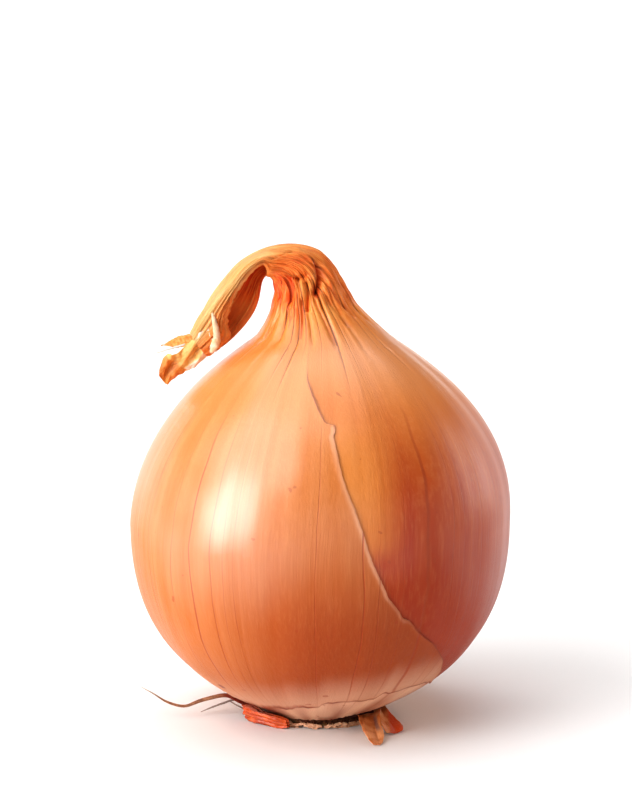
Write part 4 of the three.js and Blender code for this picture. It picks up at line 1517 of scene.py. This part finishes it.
class ONION_OT_bulb(bpy.types.Operator):
    """Makes the bulb with the skin that shows where the outer one has opened"""

    bl_idname = "onion.bulb"
    bl_label = "Bulb"

    def execute(self, context):
        make_bulb(context.scene.onion_shape, context.scene.onion_colours)
        return {"FINISHED"}


class ONION_OT_outer_skin(bpy.types.Operator):
    """Makes the loose outermost skin with its open edges"""

    bl_idname = "onion.outer_skin"
    bl_label = "Outer Skin"

    def execute(self, context):
        make_outer_skin(context.scene.onion_shape, context.scene.onion_colours)
        return {"FINISHED"}


class ONION_OT_neck(bpy.types.Operator):
    """Makes the pleated neck and its bent leaf"""

    bl_idname = "onion.neck"
    bl_label = "Neck"

    def execute(self, context):
        make_neck(context.scene.onion_shape, context.scene.onion_colours)
        return {"FINISHED"}


class ONION_OT_leaf_tips(bpy.types.Operator):
    """Makes the torn, crumpled ends of the leaf"""

    bl_idname = "onion.leaf_tips"
    bl_label = "Leaf Tips"

    def execute(self, context):
        make_leaf_tips(context.scene.onion_colours)
        return {"FINISHED"}


class ONION_OT_root_plate(bpy.types.Operator):
    """Makes the corky root plate with its dark crust and pale scraps"""

    bl_idname = "onion.root_plate"
    bl_label = "Root Plate"

    def execute(self, context):
        make_root_plate(context.scene.onion_shape, context.scene.onion_colours)
        return {"FINISHED"}


class ONION_OT_roots(bpy.types.Operator):
    """Makes the three dry roots and the short stubs round the plate"""

    bl_idname = "onion.roots"
    bl_label = "Roots"

    def execute(self, context):
        make_roots(context.scene.onion_colours)
        return {"FINISHED"}


class ONION_OT_torn_skin(bpy.types.Operator):
    """Makes the torn skin ends round the base"""

    bl_idname = "onion.torn_skin"
    bl_label = "Torn Skin"

    def execute(self, context):
        make_torn_skin(context.scene.onion_colours)
        return {"FINISHED"}


class ONION_OT_stage(bpy.types.Operator):
    """Makes the floor, the lights and the camera"""

    bl_idname = "onion.stage"
    bl_label = "Stage"

    def execute(self, context):
        make_stage(context.scene.onion_studio, context.scene.onion_colours)
        return {"FINISHED"}


OPERATORS = (
    ONION_OT_bulb,
    ONION_OT_outer_skin,
    ONION_OT_neck,
    ONION_OT_leaf_tips,
    ONION_OT_root_plate,
    ONION_OT_roots,
    ONION_OT_torn_skin,
    ONION_OT_stage,
)


class ONION_PT_panel(bpy.types.Panel):
    """Lists the onion's pieces in the sidebar"""

    bl_idname = "ONION_PT_panel"
    bl_label = "Brown Onion"
    bl_space_type = "VIEW_3D"
    bl_region_type = "UI"
    bl_category = "Onion"

    def draw(self, context):
        for operator in OPERATORS:
            self.layout.operator(operator.bl_idname)


CLASSES = (OnionShape, OnionColours, OnionStudio, *OPERATORS, ONION_PT_panel)


def register():
    for item in CLASSES:
        bpy.utils.register_class(item)
    bpy.types.Scene.onion_shape = PointerProperty(type=OnionShape)
    bpy.types.Scene.onion_colours = PointerProperty(type=OnionColours)
    bpy.types.Scene.onion_studio = PointerProperty(type=OnionStudio)


def unregister():
    del bpy.types.Scene.onion_studio
    del bpy.types.Scene.onion_colours
    del bpy.types.Scene.onion_shape
    for item in reversed(CLASSES):
        bpy.utils.unregister_class(item)


def main():
    """Makes every piece in order."""
    register()
    bpy.ops.onion.bulb()
    bpy.ops.onion.outer_skin()
    bpy.ops.onion.neck()
    bpy.ops.onion.leaf_tips()
    bpy.ops.onion.root_plate()
    bpy.ops.onion.roots()
    bpy.ops.onion.torn_skin()
    bpy.ops.onion.stage()


if __name__ == "__main__":
    main()
